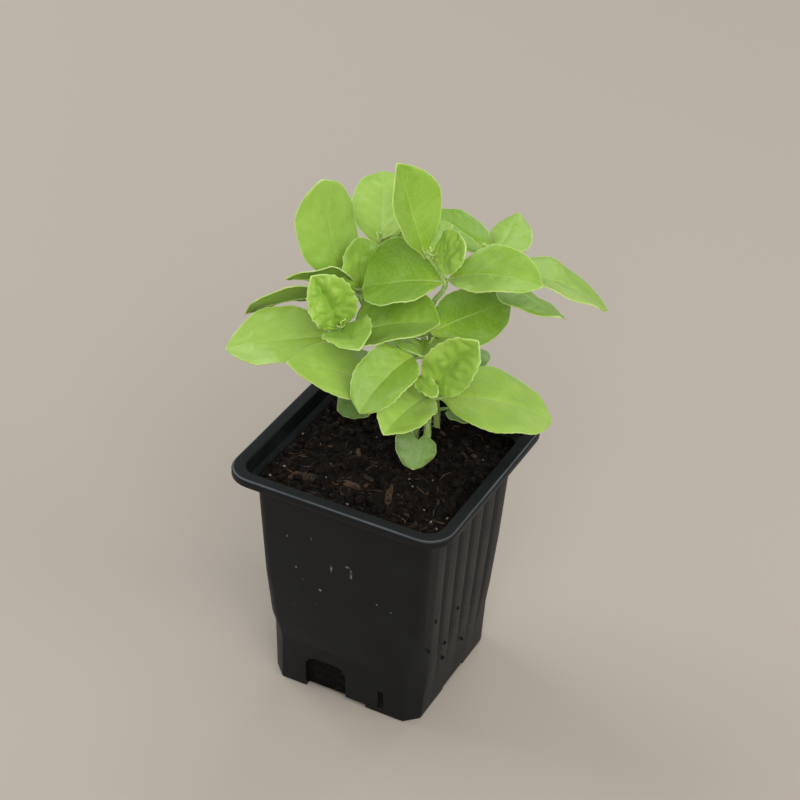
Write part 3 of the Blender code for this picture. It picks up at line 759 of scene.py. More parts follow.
# %% Threads: fibres of coir, and later stems
def thread(points, radii, sides):
    """A round bar through points, both in millimetres, from a curve that is turned to a mesh."""
    bpy.ops.object.select_all(action="DESELECT")
    bpy.ops.curve.primitive_bezier_curve_add()
    curve = bpy.context.object.data
    curve.splines.clear()
    curve.dimensions = "3D"
    curve.bevel_depth = MM
    curve.bevel_resolution = sides
    curve.use_fill_caps = True
    line = curve.splines.new("POLY")
    line.points.add(len(points) - 1)
    for target, point, radius in zip(line.points, points, radii):
        target.co = (*(Vector(point) * MM), 1.0)
        target.radius = radius
    bpy.ops.object.convert(target="MESH")
    bar = bpy.context.object
    with editing(bar):
        bpy.ops.mesh.remove_doubles(threshold=0.0005 * MM)
        bpy.ops.mesh.normals_make_consistent(inside=False)
    return bar


def join_as(name, items):
    """Join objects into the first one and name the result."""
    take(items[0])
    for item in items:
        item.select_set(True)
    bpy.ops.object.join()
    piece = bpy.context.object
    piece.name = name
    piece.data.name = name
    return piece


# Coir, the combed husk of coconuts: stiff, tan to red-brown threads with a dull shine along their backs.
coir = patchy_material(
    "coir_fibre", ("#20140B", "#62492F"), 3.0, 2.0, (0.42, 0.65), Roughness=0.6, IOR=1.45
)[0]
SEEN_FIBRES = [(-25.2, -9.7, 4.5, 17), (8.7, 25.6, 4.5, -7), (11.9, -0.7, 4.0, -11), (17.0, 3.0, 6.0, 60)]
fibres = []
fibre_plan = list(SEEN_FIBRES)
more_fibres = random_spots(
    FIBRES - len(SEEN_FIBRES), lambda: random.uniform(3.0, 9.0), lambda length: length / 2 + 1.0
)
for x, y, length in more_fibres:
    fibre_plan.append((x, y, length, random.uniform(0, 360)))
for x, y, length, heading in fibre_plan:
    bend = random.uniform(-50, 50)
    points, radii = [], []
    for step in range(9):
        share = step / 8 - 0.5
        angle = math.radians(heading + bend * share)
        px, py = x + length * share * math.cos(angle), y + length * share * math.sin(angle)
        points.append((px, py, surface_height(px, py) + 0.12))
        radii.append(0.14 * (1.0 - 0.6 * abs(2 * share)))
    fibres.append(thread(points, radii, sides=0))
coir_threads = join_as("coir_fibres", fibres)
coir_threads.data.materials.append(coir)
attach(coir_threads, "root")
print("coir", len(fibre_plan), "fibres")

# %% [markdown]
# ## Grains on the pot's wall
# Watering splashes a few grains on the wall, and they dry where they land. Each is a small flattened lump
# that sits on the plastic.

# %% Grains that stuck to the wall
SMOOTH_SIDE = [
    (-3.2, 50.6, 1.8, 0.4), (3.3, 51.0, 2.0, 0.42), (2.3, 53.0, 0.4, 0.8), (-14.8, 46.2, 0.4, 0.35),
    (-12.5, 42.5, 0.35, 0.3), (-6.9, 40.6, 0.4, 0.5), (-8.3, 34.6, 0.3, 0.25), (11.7, 42.8, 0.35, 0.4),
    (16.2, 41.7, 0.3, 0.3), (-9.6, 59.0, 0.7, 0.22), (-17.5, 57.0, 0.5, 0.22),
]
FLUTED_SIDE = [(-19.0, 37.5), (-3.5, 31.4), (-10.3, 22.8), (-10.4, 17.0), (-21.6, 27.9), (2.8, 14.5)]
wall_models = [shaped_lump(f"grain_{index}", 40 + index, 0.8, 0.2) for index in range(4)]
pale_places, dark_places = [], []
for index, (x, z, long, wide) in enumerate(SMOOTH_SIDE):
    middle = Vector((x, -body_half(z) - 0.02, z)) * MM
    pale_places.append((index, Matrix.Translation(middle) @ Matrix.Diagonal((wide, 0.08, long, 1.0))))
for index, (y, z) in enumerate(FLUTED_SIDE):
    middle = Vector((body_half(z) + FLUTE_DEPTH, y, z)) * MM
    dark_places.append((index, Matrix.Translation(middle) @ Matrix.Diagonal((0.3, 0.5, 0.6, 1.0))))
# Lime left by hard water as a drop dries: a grey film too thin to hide the black below.
splash = patchy_material(
    "dried_lime_film", ("#282A2C", "#626668"), 1.5, 3.0, (0.35, 0.65), Roughness=0.65, IOR=1.45,
    Specular_IOR_Level=0.3,
)[0]
scatter("dried_splashes", wall_models, pale_places, splash)
wall_models = [shaped_lump(f"speck_{index}", 50 + index, 0.8, 0.25) for index in range(4)]
# Wet peat that fills the two narrow slits
for side in (-1, 1):
    middle = Vector((-13.0 * side, side * (body_half(5.8) - 0.75), 5.8)) * MM
    dark_places.append((1, Matrix.Translation(middle) @ Matrix.Diagonal((1.15, 0.8, 4.0, 1.0))))
scatter("splashed_grains", wall_models, dark_places, crumb_peat)

# %% [markdown]
# ## Seedlings: where every leaf sits
# Basil carries its leaves in opposite pairs, each pair turned a quarter against the last, on a short stalk.
# Each leaf here has a node on its stem, a heading, a pitch and a roll, a length and a width, how far its
# tip droops, and how strongly it is cupped. These are the frame's own values, so the thin leaves lie where
# the solid ones do.

# %% Leaf outlines and plants
POINTED = (0.05, 0.43, 0.72, 0.90, 0.985, 1.0, 0.96, 0.86, 0.69, 0.43, 0.0)
BLUNT = (0.05, 0.40, 0.68, 0.87, 0.97, 1.0, 0.985, 0.92, 0.80, 0.58, 0.0)
TAPERED = (0.04, 0.22, 0.47, 0.70, 0.88, 0.98, 1.0, 0.93, 0.76, 0.47, 0.0)
BROAD = (0.06, 0.55, 0.84, 0.96, 1.0, 0.99, 0.95, 0.87, 0.74, 0.50, 0.0)
KIDNEY = (0.42, 0.84, 0.98, 1.0, 0.97, 0.91, 0.83, 0.72, 0.58, 0.39, 0.0)
# One leaf in millimetres and degrees. youth runs from 0 to 1. The last value paints light and shade on the
# whole leaf, from the deep green of a shaded leaf to the pale green of a lit one.
Leaf = namedtuple(
    "Leaf", "node heading pitch roll length width droop cup stalk rise turn outline youth dents tint",
    defaults=(0.0, POINTED, 0.0, 0.2, 0.5),
)


def young(heading, pitch, length, width, droop=15.0, cup=0.3):
    """A small leaf of the growing tip, almost without a stalk."""
    return Leaf("top", heading, pitch, 0.0, length, width, droop, cup, 0.3, pitch, 0.0, BLUNT, 1.0, 0.4)


def seed_leaf(
    heading, pitch, stalk, rise=20.0, turn=0.0, roll=0.0, length=10.5, width=12.0, droop=15.0, cup=-0.1
):
    """One of a seedling's two first leaves, wider than long, with a notch at its stalk."""
    return Leaf("seed", heading, pitch, roll, length, width, droop, cup, stalk, rise, turn, KIDNEY, -1.0, 0.0)


# One seedling, from its root: bends of the stem, lower pair, top, and how high its seed leaves sit
Plant = namedtuple("Plant", "bends pair top seed leaves")
PLANTS = {
    "front_left": Plant(((-17.5, 0.0, 23.0),), (-22.4, -3.3, 33.7), (-22.2, -5.9, 37.0), 14.0, (
        Leaf("pair", 204, -4, -23, 31, 20, 16, 0.29, 3.3, -7, tint=0.95),
        Leaf("pair", 13, 33, 15, 27, 22, 30, 0.38, 3.0, 28, 0, BROAD, 0.1, tint=0.45),
        Leaf("top", 219, 78, -75, 20.3, 13.8, 24, 0.60, 0.3, 88, 0, BLUNT, 0.9, 1.3, tint=0.5),
        Leaf("top", 317, 29, 16, 18, 13.7, 29, 0.46, 0.3, 39, 0, BLUNT, 0.6, 0.4, tint=0.55),
        Leaf("top", 190, 38, 0, 3.6, 3, 23, 0.30, 0.6, 74, 0, BLUNT, 1.0, 0.3),
        Leaf("top", 19, 73, -11, 5, 2.4, 11, 0.28, 0.6, 70, 0, BLUNT, 1.0, 0.3),
        seed_leaf(215, -25, 7.4, 10, 0, -27, 8.5, 12.5, 12, -0.02),
    )),
    "back_left": Plant((), (-23.9, 1.4, 39.1), (-24.8, 2.2, 40.7), 11.0, (
        Leaf("pair", 206, 4, 42, 31, 19, 35, 0.17, 4.0, 13, tint=0.4),
        Leaf("pair", 187, 69, -33, 32, 20, -15, -0.14, 7.6, 37, -11, BLUNT, tint=0.95),
        Leaf("top", 124, 88, 10, 16.5, 12.8, 29, 0.60, 0.3, 88, 0, BLUNT, 0.7, 0.8, tint=0.5),
        young(300, 50, 5, 4),
        Leaf("top", 225, 22, 42, 21, 16, 16, 0.21, 3.9, 59, 0, POINTED, 0.2, tint=0.2),
    )),
    "tall": Plant(((-2.8, -1.0, 42.3),), (1.5, -2.8, 52.8), (-3.4, -2.3, 58.3), 7.0, (
        Leaf("pair", 198, 0, -17, 24, 25.5, 27, 0.40, 0.3, -43, 0, BLUNT, tint=0.0),
        Leaf("pair", 3, 32, 17, 29, 18, 42, 0.30, 1.4, 42, tint=0.5),
        Leaf("top", 203, 73, -39, 30.7, 18, 0, 0.44, 1.5, 2, 0, TAPERED, 0.2, tint=0.32),
        Leaf("top", 345, 37, 62, 15, 12.2, 2, 0.03, 0.3, 64, 0, BLUNT, 1.0, 1.1, tint=1.15),
        Leaf("top", 102, 36, -8, 12.8, 8.7, 31, 0.37, 0.9, 67, 0, BLUNT, 0.7, 0.5, tint=0.3),
        seed_leaf(20, 0, 5.0),
    )),
    "front": Plant((), (0.6, -0.1, 18.4), (3.3, -6.7, 25.6), 5.0, (
        Leaf("pair", 215, 27, -14, 37.5, 21.5, 16, 0.07, 6.4, 27, tint=0.9),
        Leaf("pair", 31, 5, 9, 34.3, 26, 40, 0.04, 3.3, 16, 0, BROAD, tint=0.8),
        Leaf("pair", 267, 19, -22, 25.9, 14.4, 32, 0.46, 2.1, 77, 0, BLUNT, 0.3, 0.25, tint=1.0),
        Leaf("top", 16, 62, 75, 23.2, 13.9, 12, 0.60, 0.3, 79, 0, BLUNT, 0.8, 0.8, tint=0.5),
        Leaf("top", 331, 0, 24, 11, 4.6, 4, 0.26, 6.2, 45, -145, BLUNT, 1.0, 0.3, tint=0.4),
        young(190, 65, 5, 3.5), seed_leaf(285, -33, 7.0, 24, -11, -28, 8.8, 12.9, 27, -0.12),
    )),
    "middle": Plant((), (2.2, -0.3, 30.0), (-0.3, 3.2, 34.0), 12.0, (
        Leaf("pair", 252, -1, -18, 23.4, 15.5, 52, 0.38, 10.0, 32, 19, BROAD, 0.3, tint=0.3),
        Leaf("pair", 62, 8, 36, 28, 17.3, 11, -0.20, 9.3, 80, -75, BLUNT, tint=0.05),
        Leaf("top", 295, 4, 0, 10.2, 18, -7, 0.41, 1.8, 0, 0, BLUNT, 0.8, 0.8, tint=0.3),
        young(165, 15, 5, 4), young(250, 35, 3.5, 3),
    )),
    "back_right": Plant((), (12.4, 15.0, 50.1), (11.9, 13.6, 53.7), 14.0, (
        Leaf("pair", 165, 26, 2, 26.2, 15.3, 31, 0.10, 3.1, 36, 0, BLUNT, tint=-0.2),
        Leaf("pair", 41, -13, 0, 35, 22, 31, 0.16, 5.0, -27, tint=0.55),
        Leaf("pair", 325, 0, -22, 29.5, 18.5, -14, -0.20, 5.4, -8, tint=-0.2),
        Leaf("top", 100, -3, -5, 27.1, 14, -5, -0.25, 0.3, -8, 0, POINTED, 0.3, tint=0.45),
        young(250, 60, 6, 4.5), seed_leaf(64, 7, 8.3, 26, 0, 0, 10.1),
    )),
    "back": Plant((), (-15.8, 6.4, 46.2), (-15.6, 6.9, 50.7), 16.0, (
        Leaf("pair", 191, 6, 15, 15.2, 9, 9, -0.10, 4.1, -12, tint=0.3),
        Leaf("pair", 82, 4, 38, 24, 15, 26, 0.09, 0.8, 7, 0, BLUNT, tint=0.2),
        Leaf("pair", 117, 30, -6, 28.9, 17.9, 17, 0.18, 4.2, 41, 0, BLUNT, tint=0.78),
        young(340, 70, 6, 4), young(200, 75, 5, 3.5), seed_leaf(135, 5, 4.0),
    )),
}
print(len(PLANTS), "seedlings with", sum(len(plant.leaves) for plant in PLANTS.values()), "leaves")


# %% Directions and curves
def direction(heading, pitch):
    flat = math.cos(math.radians(pitch))
    turn = math.radians(heading)
    return Vector((flat * math.cos(turn), flat * math.sin(turn), math.sin(math.radians(pitch))))


def hermite(start, start_slope, end, end_slope, share):
    share2, share3 = share * share, share * share * share
    return (
        start * (2 * share3 - 3 * share2 + 1)
        + start_slope * (share3 - 2 * share2 + share)
        + end * (3 * share2 - 2 * share3)
        + end_slope * (share3 - share2)
    )


def half_width(values, share):
    """A smooth reading of an outline, as a share of the widest half width."""
    last = len(values) - 1
    place = min(max(share, 0.0), 1.0) * last
    index = min(int(place), last - 1)
    before, start, end = values[max(index - 1, 0)], values[index], values[index + 1]
    after = values[min(index + 2, last)]
    return hermite(start, (end - before) / 2.0, end, (after - start) / 2.0, place - index)


def stem_point(plant, share):
    """A point of the stem between the surface of the mix and the lower pair, from its root."""
    knots = [Vector(point) for point in ((0.0, 0.0, 0.0), *plant.bends, plant.pair, plant.top)]
    place = share * (len(knots) - 2)
    index = min(int(place), len(knots) - 3)
    start, end = knots[index], knots[index + 1]
    step = end - start
    leaving = Vector((0.0, 0.0, 1.0))
    if index > 0:
        leaving = ((start - knots[index - 1]).normalized() + step.normalized()).normalized()
    arriving = (step.normalized() + (knots[index + 2] - end).normalized()).normalized()
    return hermite(start, leaving * step.length, end, arriving * step.length, place - index)


def stem_node(plant, node):
    if node != "seed":
        return Vector(getattr(plant, node))
    nearest = min(range(41), key=lambda step: abs(stem_point(plant, step / 40).z - plant.seed))
    return stem_point(plant, nearest / 40)


def midrib(base, one, share):
    """A point of the midrib, which bends down evenly from base to tip."""
    point = Vector(base)
    for step in range(12):
        middle = (step + 0.5) / 12 * share
        point += direction(one.heading, one.pitch - one.droop * middle) * one.length * share / 12
    return point


def blade_frame(one, share):
    """The directions along the blade, to its left and up from it, at a share of its length."""
    level_left, roll = direction(one.heading + 90.0, 0.0), math.radians(one.roll)
    along = direction(one.heading, one.pitch - one.droop * share)
    left = level_left * math.cos(roll) + along.cross(level_left) * math.sin(roll)
    return along, left, along.cross(left)


# %% [markdown]
# ## One leaf
# A leaf starts as a fine grid, which is then shaped: cupped, drooped and rolled as the frame's leaf is,
# with a groove along the midrib, cushions between the side veins, a margin that curls down, a rounded tip
# and small cut teeth. Each point keeps its place on the leaf as attributes, and the veins are painted by
# them later. Solidify gives a thickness of less than half a millimetre, with the upper side, the underside
# and the cut edge as three finishes.

# %% Leaf relief
VEIN_PAIRS, VEIN_SWEEP = 6.5, 0.30
LEAF_THICKNESS, GRID_ALONG, GRID_ACROSS = 0.34, 0.45, 1.1
TIP_START, TIP_ROUNDNESS, KIDNEY_SWEEP = 0.9, 0.25, 0.16
# Heights in millimetres on a leaf of full width, and how wide the groove, the swells and the dents are
FULL_WIDTH, WAVE, CUSHION, CURL = 14.0, 0.42, 0.5, 0.35
GROOVE, DENTED_GROOVE, GROOVE_WIDTH = 0.2, 0.35, 0.8
SWELL, SWELL_WIDTH, DENT, DENT_WIDTH = 0.4, 7.0, 1.5, 3.4
# How far teeth are apart and stand out, and how far the margin wanders
TOOTH_SPACING, TOOTH, YOUNG_TOOTH, UNEVEN_MARGIN = 2.3, 0.24, 0.46, 0.4


def relief(one, share, side, half):
    """Height of the surface over the plain cupped blade, in millimetres."""
    along = VEIN_PAIRS * (share - VEIN_SWEEP * abs(side) ** 1.2)
    from_vein = abs(along - round(along)) * 2.0
    ends = smooth_step(share / 0.14) * smooth_step((1.0 - share) / 0.18)
    cushion = (1.0 - (1.0 - from_vein) ** 2) * math.sin(math.pi * min(abs(side), 1.0) ** 0.8) * ends
    fit, dents = min(one.width / FULL_WIDTH, 1.0), one.dents
    height = CUSHION * dents * fit * cushion
    groove = math.exp(-((side * half / GROOVE_WIDTH) ** 2)) * smooth_step((1.0 - share) / 0.4)
    height -= (GROOVE + DENTED_GROOVE * dents) * fit * groove
    spot = Vector((share * one.length, side * half, one.heading * 0.37 + one.pitch))
    height += SWELL * fit * noise.noise(spot / SWELL_WIDTH) * ends
    height += DENT * dents * fit * (abs(noise.noise(spot / DENT_WIDTH)) - 0.2) * ends
    return height - CURL * fit * smooth_step((abs(side) - 0.78) / 0.22) ** 2


def half_at(one, share):
    """Half width in millimetres. The last tenth is drawn towards an ellipse, so that the tip is rounded."""
    share_of_widest = half_width(one.outline, share)
    if share > TIP_START:
        to_tip = (share - TIP_START) / 0.1
        round_end = half_width(one.outline, TIP_START) * math.sqrt(max(1.0 - to_tip ** 2, 0.0))
        share_of_widest = (1.0 - TIP_ROUNDNESS) * share_of_widest + TIP_ROUNDNESS * round_end
    return share_of_widest * one.width / 2


# %% Shaping a leaf
def shape_leaf(name, base, one):
    """Make one leaf blade as an object in metres on the seedling's own origin."""
    rows = max(14, round(one.length / GRID_ALONG))
    strips = max(10, 2 * round(one.width / GRID_ACROSS))
    bpy.ops.object.select_all(action="DESELECT")
    bpy.ops.mesh.primitive_grid_add(x_subdivisions=rows, y_subdivisions=strips, size=2.0)
    item = bpy.context.object
    item.name = name
    mesh = item.data
    # place: share of the length, share of the half width, mm from the edge. kind: painted light and shade,
    # youth, seed leaf.
    place = mesh.attributes.new("leaf_place", "FLOAT_VECTOR", "POINT")
    kind = mesh.attributes.new("leaf_kind", "FLOAT_VECTOR", "POINT")
    youth = max(one.youth, 0.0)
    teeth = max(5, round(one.length / TOOTH_SPACING))
    tooth_size = 0.0 if one.youth < 0 else TOOTH + YOUNG_TOOTH * youth
    frames = {}
    for vertex in mesh.vertices:
        step, side = (vertex.co.x + 1.0) / 2.0, vertex.co.y
        share = 0.65 * step + 0.35 * (0.5 - 0.5 * math.cos(math.pi * step))
        row = round(step * rows)
        if row not in frames:
            frames[row] = (midrib(base, one, share), *blade_frame(one, share), half_at(one, share))
        middle, along, left, upward, half = frames[row]
        phase = (share * teeth + 0.15 * math.sin(9.0 * share + one.heading)) % 1.0
        tooth = tooth_size * phase ** 1.5 * (1.0 - smooth_step((phase - 0.86) / 0.14))
        tooth *= smooth_step((abs(side) - 0.86) / 0.14)
        tooth *= smooth_step(share / 0.22) * smooth_step((1 - share) / 0.08)
        uneven = noise.noise(Vector((share * 5.0, math.copysign(3.1, side), one.heading * 0.7)))
        tooth += (
            UNEVEN_MARGIN * min(one.width / FULL_WIDTH, 1.0) * uneven
            * smooth_step(share / 0.2) * smooth_step((1 - share) / 0.1)
        )
        wave = math.sin(2 * math.pi * (2.2 * share + 0.25 * side))
        lift = one.cup * half * abs(side) ** (1.6 - 0.45 * youth)
        lift += WAVE * wave * side * side * half / (one.width / 2)
        lift += relief(one, share, side, half)
        point = middle + left * (half + tooth) * side + upward * lift
        if one.outline is KIDNEY:
            point -= along * KIDNEY_SWEEP * one.width * abs(side) ** 1.5 * (1.0 - share) ** 2
        vertex.co = point * MM
        edge = min(half * (1.0 - abs(side)), (1.0 - share) * one.length * 0.8)
        place.data[vertex.index].vector = (share, side * half, edge)
        kind.data[vertex.index].vector = (one.tint, youth, 1.0 if one.youth < 0 else 0.0)
    with editing(item):
        bpy.ops.mesh.remove_doubles(threshold=0.002 * MM)
    for material in LEAF_FINISHES:
        mesh.materials.append(material)
    apply_modifier(
        item, "SOLIDIFY", thickness=LEAF_THICKNESS * MM, offset=0.0, material_offset=1, material_offset_rim=2
    )
    take(item)
    bpy.ops.object.shade_smooth_by_angle(angle=math.radians(60))
    return item


# %% [markdown]
# ## Leaf finishes
# A basil leaf is soft and faintly glossy, with a waxy skin over bright green cells. Light passes through
# it, so its shaded parts stay vivid. Each leaf is also painted lighter or darker as a whole, as painted light
# and shade. Veins are paler than the blade, sunken above and raised below, and the edge is a thin pale line,
# partly a painted highlight. The pattern follows each leaf's own length and width.


# %% Leaf skin
def leaf_skin(name, tones, seed, roughness, raised):
    """Leaf skin with veins. tones: deep, light, fresh, base, vein, edge. raised is 1 below and -1 above.

    Deep and light are painted shade and painted light; edge is partly a painted highlight.
    """
    deep, light, fresh, base, vein, edge = tones
    material, add, shader = new_material(
        name, IOR=1.5, Specular_IOR_Level=0.46, Sheen_Weight=0.04, Sheen_Roughness=0.5,
        Subsurface_Weight=0.3, Subsurface_Scale=0.9 * MM, Subsurface_Radius=(0.7, 1.0, 0.15),
    )
    where = add(ATTRIBUTE, {"attribute_name": "leaf_place"}, {}, "Vector")
    kind = add(ATTRIBUTE, {"attribute_name": "leaf_kind"}, {}, "Vector")
    share, across, from_edge = [add(SPLIT, {}, [where], number) for number in range(3)]
    tint, youth, is_seed = [add(SPLIT, {}, [kind], number) for number in range(3)]
    # Side veins leave the midrib and sweep forward, so their lines follow share minus a part of the side
    across = add(MATH, ABSOLUTE, [across])
    width_here = add(MATH, ADD, [across, from_edge])
    side = add(MATH, {"operation": "DIVIDE"}, [across, width_here])
    sweep = add(MATH, {"operation": "POWER"}, [side, 1.2])
    along = add(MATH, MULTIPLY_ADD, [sweep, -VEIN_SWEEP, share])
    along = add(MATH, MULTIPLY, [along, VEIN_PAIRS])
    from_vein = add(MATH, {"operation": "PINGPONG"}, [along, 0.5])
    line = add(RAMP, SMOOTH, [from_vein, 0.005, 0.07, 1.0, 0.0])
    fading = add(RAMP, SMOOTH, [side, 0.2, 0.95, 0.34, 0.0])
    side_vein = add(MATH, MULTIPLY, [line, fading])
    main_vein = add(RAMP, SMOOTH, [across, 0.08, 0.42, 1.0, 0.0])
    thinning = add(RAMP, SMOOTH, [share, 0.4, 1.0, 1.0, 0.1])
    main_vein = add(MATH, MULTIPLY, [main_vein, thinning])
    ribs = add(MATH, {"operation": "MAXIMUM"}, [side_vein, main_vein])
    no_seed = add(MATH, SUBTRACT, [1.0, is_seed])
    ribs = add(MATH, MULTIPLY, [ribs, no_seed])
    # The margin is painted pale: partly a painted highlight where the edge curls down into the light
    margin = add(RAMP, SMOOTH, [from_edge, 0.05, 0.3, 0.5, 0.0])
    # Clouds of tone over the blade, fine cells, and the net of small veins
    place = add(COORDINATES, {}, {}, "Object")
    cloud, cells = [
        add(NOISE, {}, {"Vector": place, "Scale": 1 / (size * MM), "Detail": 3.0}) for size in (9, 0.5)
    ]
    net = add(CELLS, {"feature": "DISTANCE_TO_EDGE"}, {"Vector": place, "Scale": 1 / (1.3 * MM)})
    # Random clouds of tone, plus each leaf's own value of painted light and shade
    tone = add(RAMP, SMOOTH, [cloud, 0.35, 0.65, -0.16, 0.16])
    tone = add(MATH, {"operation": "ADD", "use_clamp": True}, [tone, tint])
    freshness = add(MATH, MULTIPLY, [youth, 0.7])
    near_base = add(RAMP, SMOOTH, [share, 0.02, 0.34, 0.55, 0.0])
    near_rib = add(RAMP, SMOOTH, [across, 0.5, 4.0, 1.0, 0.15])
    base_glow = add(MATH, MULTIPLY, [near_base, near_rib])
    speckle = add(RAMP, SMOOTH, [cells, 0.4, 0.72, 0.0, 0.10])
    netting = add(RAMP, SMOOTH, [net, 0.0, 0.12, 0.07, 0.0])
    vein_share = add(MATH, MULTIPLY, [ribs, 0.42])
    # The first mix paints light and shade: from the shaded deep green to the lit pale green
    colour = deep
    for cover, tone_over in (
        (tone, light), (freshness, fresh), (base_glow, base), (is_seed, seed), (speckle, edge),
        (netting, vein), (vein_share, vein), (margin, edge),
    ):
        colour = add(MIX, COLOUR, {0: cover, 6: colour, 7: tone_over}, 2)
    rough = add(RAMP, SMOOTH, [cells, 0.3, 0.7, roughness - 0.05, roughness + 0.07])
    fine_veins = add(RAMP, SMOOTH, [net, 0.0, 0.2, 0.22, 0.0])
    height = add(MATH, ADD, [fine_veins, ribs])
    skin = add(MATH, MULTIPLY, [cells, 0.3])
    height = add(MATH, MULTIPLY_ADD, [height, raised, skin])
    bump = add(BUMP, {}, {"Strength": 0.45, "Distance": 0.12 * MM, "Height": height})
    link(shader, Base_Color=colour, Roughness=rough, Normal=bump)
    return material


# Upper skin of a basil leaf, grown in shade: a waxed film over yellow-green cells. Its pale green is painted
# light with a painted sheen, and its deep, saturated green is painted shade; each leaf mixes them by its own
# value.
upper_skin = leaf_skin(
    "basil_leaf_upper_skin", ("#6C9606", "#9ABC4E", "#94B843", "#9AB51C", "#B4D06C", "#CFE394"), "#6C8E40",
    0.44, -1.0,
)
# Underside of the same leaf: loose air-filled cells without wax, so it is duller and more olive, and the
# veins stand out as ridges.
under_skin = leaf_skin(
    "basil_leaf_underside", ("#6C8E14", "#8EAC44", "#92B246", "#96AE30", "#AEC870", "#C8DE8C"), "#728C4A",
    0.6, 1.0,
)
# Cut edge of the leaf: a pale rim, painted paler still as a thin line of painted highlight where the margin
# catches the light.
edge_highlight_skin = patchy_material(
    "basil_leaf_edge_highlight", ("#A2C058", "#CFE398"), 2.5, 2.0, Roughness=0.45, IOR=1.45, Subsurface_Weight=0.3,
    Subsurface_Scale=0.6 * MM,
)[0]
LEAF_FINISHES = (upper_skin, under_skin, edge_highlight_skin)

# %% Stem skin
# Young basil stem: juicy and faintly ridged along its length, so its shine breaks into fine streaks.
stem_skin, add, shader = new_material(
    "basil_stem_skin", Roughness=0.42, IOR=1.42, Subsurface_Weight=0.25, Subsurface_Scale=1.0 * MM,
    Subsurface_Radius=(0.6, 1.0, 0.3),
)
place = add(COORDINATES, {}, {}, "Object")
stretched = add("ShaderNodeMapping", {}, {"Vector": place, "Scale": (1.0, 1.0, 0.12)})
streak = add(NOISE, {}, {"Vector": stretched, "Scale": 1 / (0.4 * MM), "Detail": 2.0})
streaks = add(RAMP, SMOOTH, [streak, 0.35, 0.65])
tone = add(MIX, COLOUR, {0: streaks, 6: "#8CAC48", 7: "#B6D084"}, 2)
bump = add(BUMP, {}, {"Strength": 0.5, "Distance": 0.1 * MM, "Height": streak})
link(shader, Base_Color=tone, Normal=bump)
# Stem hairs are clear, single-celled spikes: pale threads that light up at the stem's outline.
hair_skin = new_material("basil_stem_hair", Base_Color=hex_colour("#D9E6BC"), Roughness=0.5, IOR=1.45)[0]
print("leaf finishes", [material.name for material in LEAF_FINISHES])

# %% [markdown]
# ## Stems, stalks and hairs
# A basil stem swells a little where its leaves join. Stalks bend from the stem into the blade and run on
# under it as the raised midrib. Young stems carry short, fine hairs, modelled as thin three-sided spikes.

# %% Stem, stalks and raised midribs
STEM_RADIUS, STEM_TOP_RADIUS, ROOT_DEPTH = 0.95, 0.65, 6.0
NODE_SWELLING, NODE_LENGTH = 0.22, 1.4
# A stalk thins from the stem to the blade, and the midrib that goes on from it thins by its taper
STALK_RADIUS, STALK_END_RADIUS, MIDRIB_RADIUS, MIDRIB_TAPER = 0.62, 0.36, 0.34, 0.24
STALK_END, MIDRIB_LENGTH = 0.18, 0.7
HAIRS, HAIR_RADIUS, HAIR_LENGTHS = 380, 0.035, (0.35, 0.75)


def leaf_base(plant, one):
    return stem_node(plant, one.node) + direction(one.heading + one.turn, one.rise) * one.stalk


def stem_thread(plant):
    """The stem from under the surface to its growing tip, swollen at its nodes."""
    points = [Vector((0.0, 0.0, -ROOT_DEPTH))] + [stem_point(plant, step / 30) for step in range(31)]
    last_leg = Vector(plant.top) - Vector(plant.pair)
    points += [Vector(plant.pair) + last_leg * share for share in (0.33, 0.66, 1.0)]
    radii = []
    for index, point in enumerate(points):
        radius = STEM_RADIUS + (STEM_TOP_RADIUS - STEM_RADIUS) * index / (len(points) - 1)
        for node in ("pair", "top", "seed"):
            from_node = (point - stem_node(plant, node)).length
            radius += NODE_SWELLING * math.exp(-((from_node / NODE_LENGTH) ** 2))
        radii.append(radius)
    return thread(points, radii, sides=3)


def stalk_thread(plant, one):
    """A leaf's stalk, running on under the blade as its raised midrib."""
    node, base = stem_node(plant, one.node), leaf_base(plant, one)
    slim = 0.45 + 0.55 * min(one.width / 13.0, 1.0)

    def under_blade(share, radius):
        """A point of the raised midrib, sunk a little into the blade's underside."""
        under = relief(one, share, 0.0, 1.0) - LEAF_THICKNESS / 2 - 0.6 * radius
        return midrib(base, one, share) + blade_frame(one, share)[2] * under

    inside = under_blade(STALK_END, MIDRIB_RADIUS * slim)
    points, radii = [], []
    for step in range(9):
        share = step / 8
        points.append(node.lerp(base, share).lerp(base.lerp(inside, share), share))
        radii.append((STALK_RADIUS + (STALK_END_RADIUS - STALK_RADIUS) * share) * slim)
    for step in range(1, 9):
        radii.append((MIDRIB_RADIUS - MIDRIB_TAPER * step / 8) * slim)
        points.append(under_blade(STALK_END + MIDRIB_LENGTH * step / 8, radii[-1]))
    return thread(points, radii, sides=2)


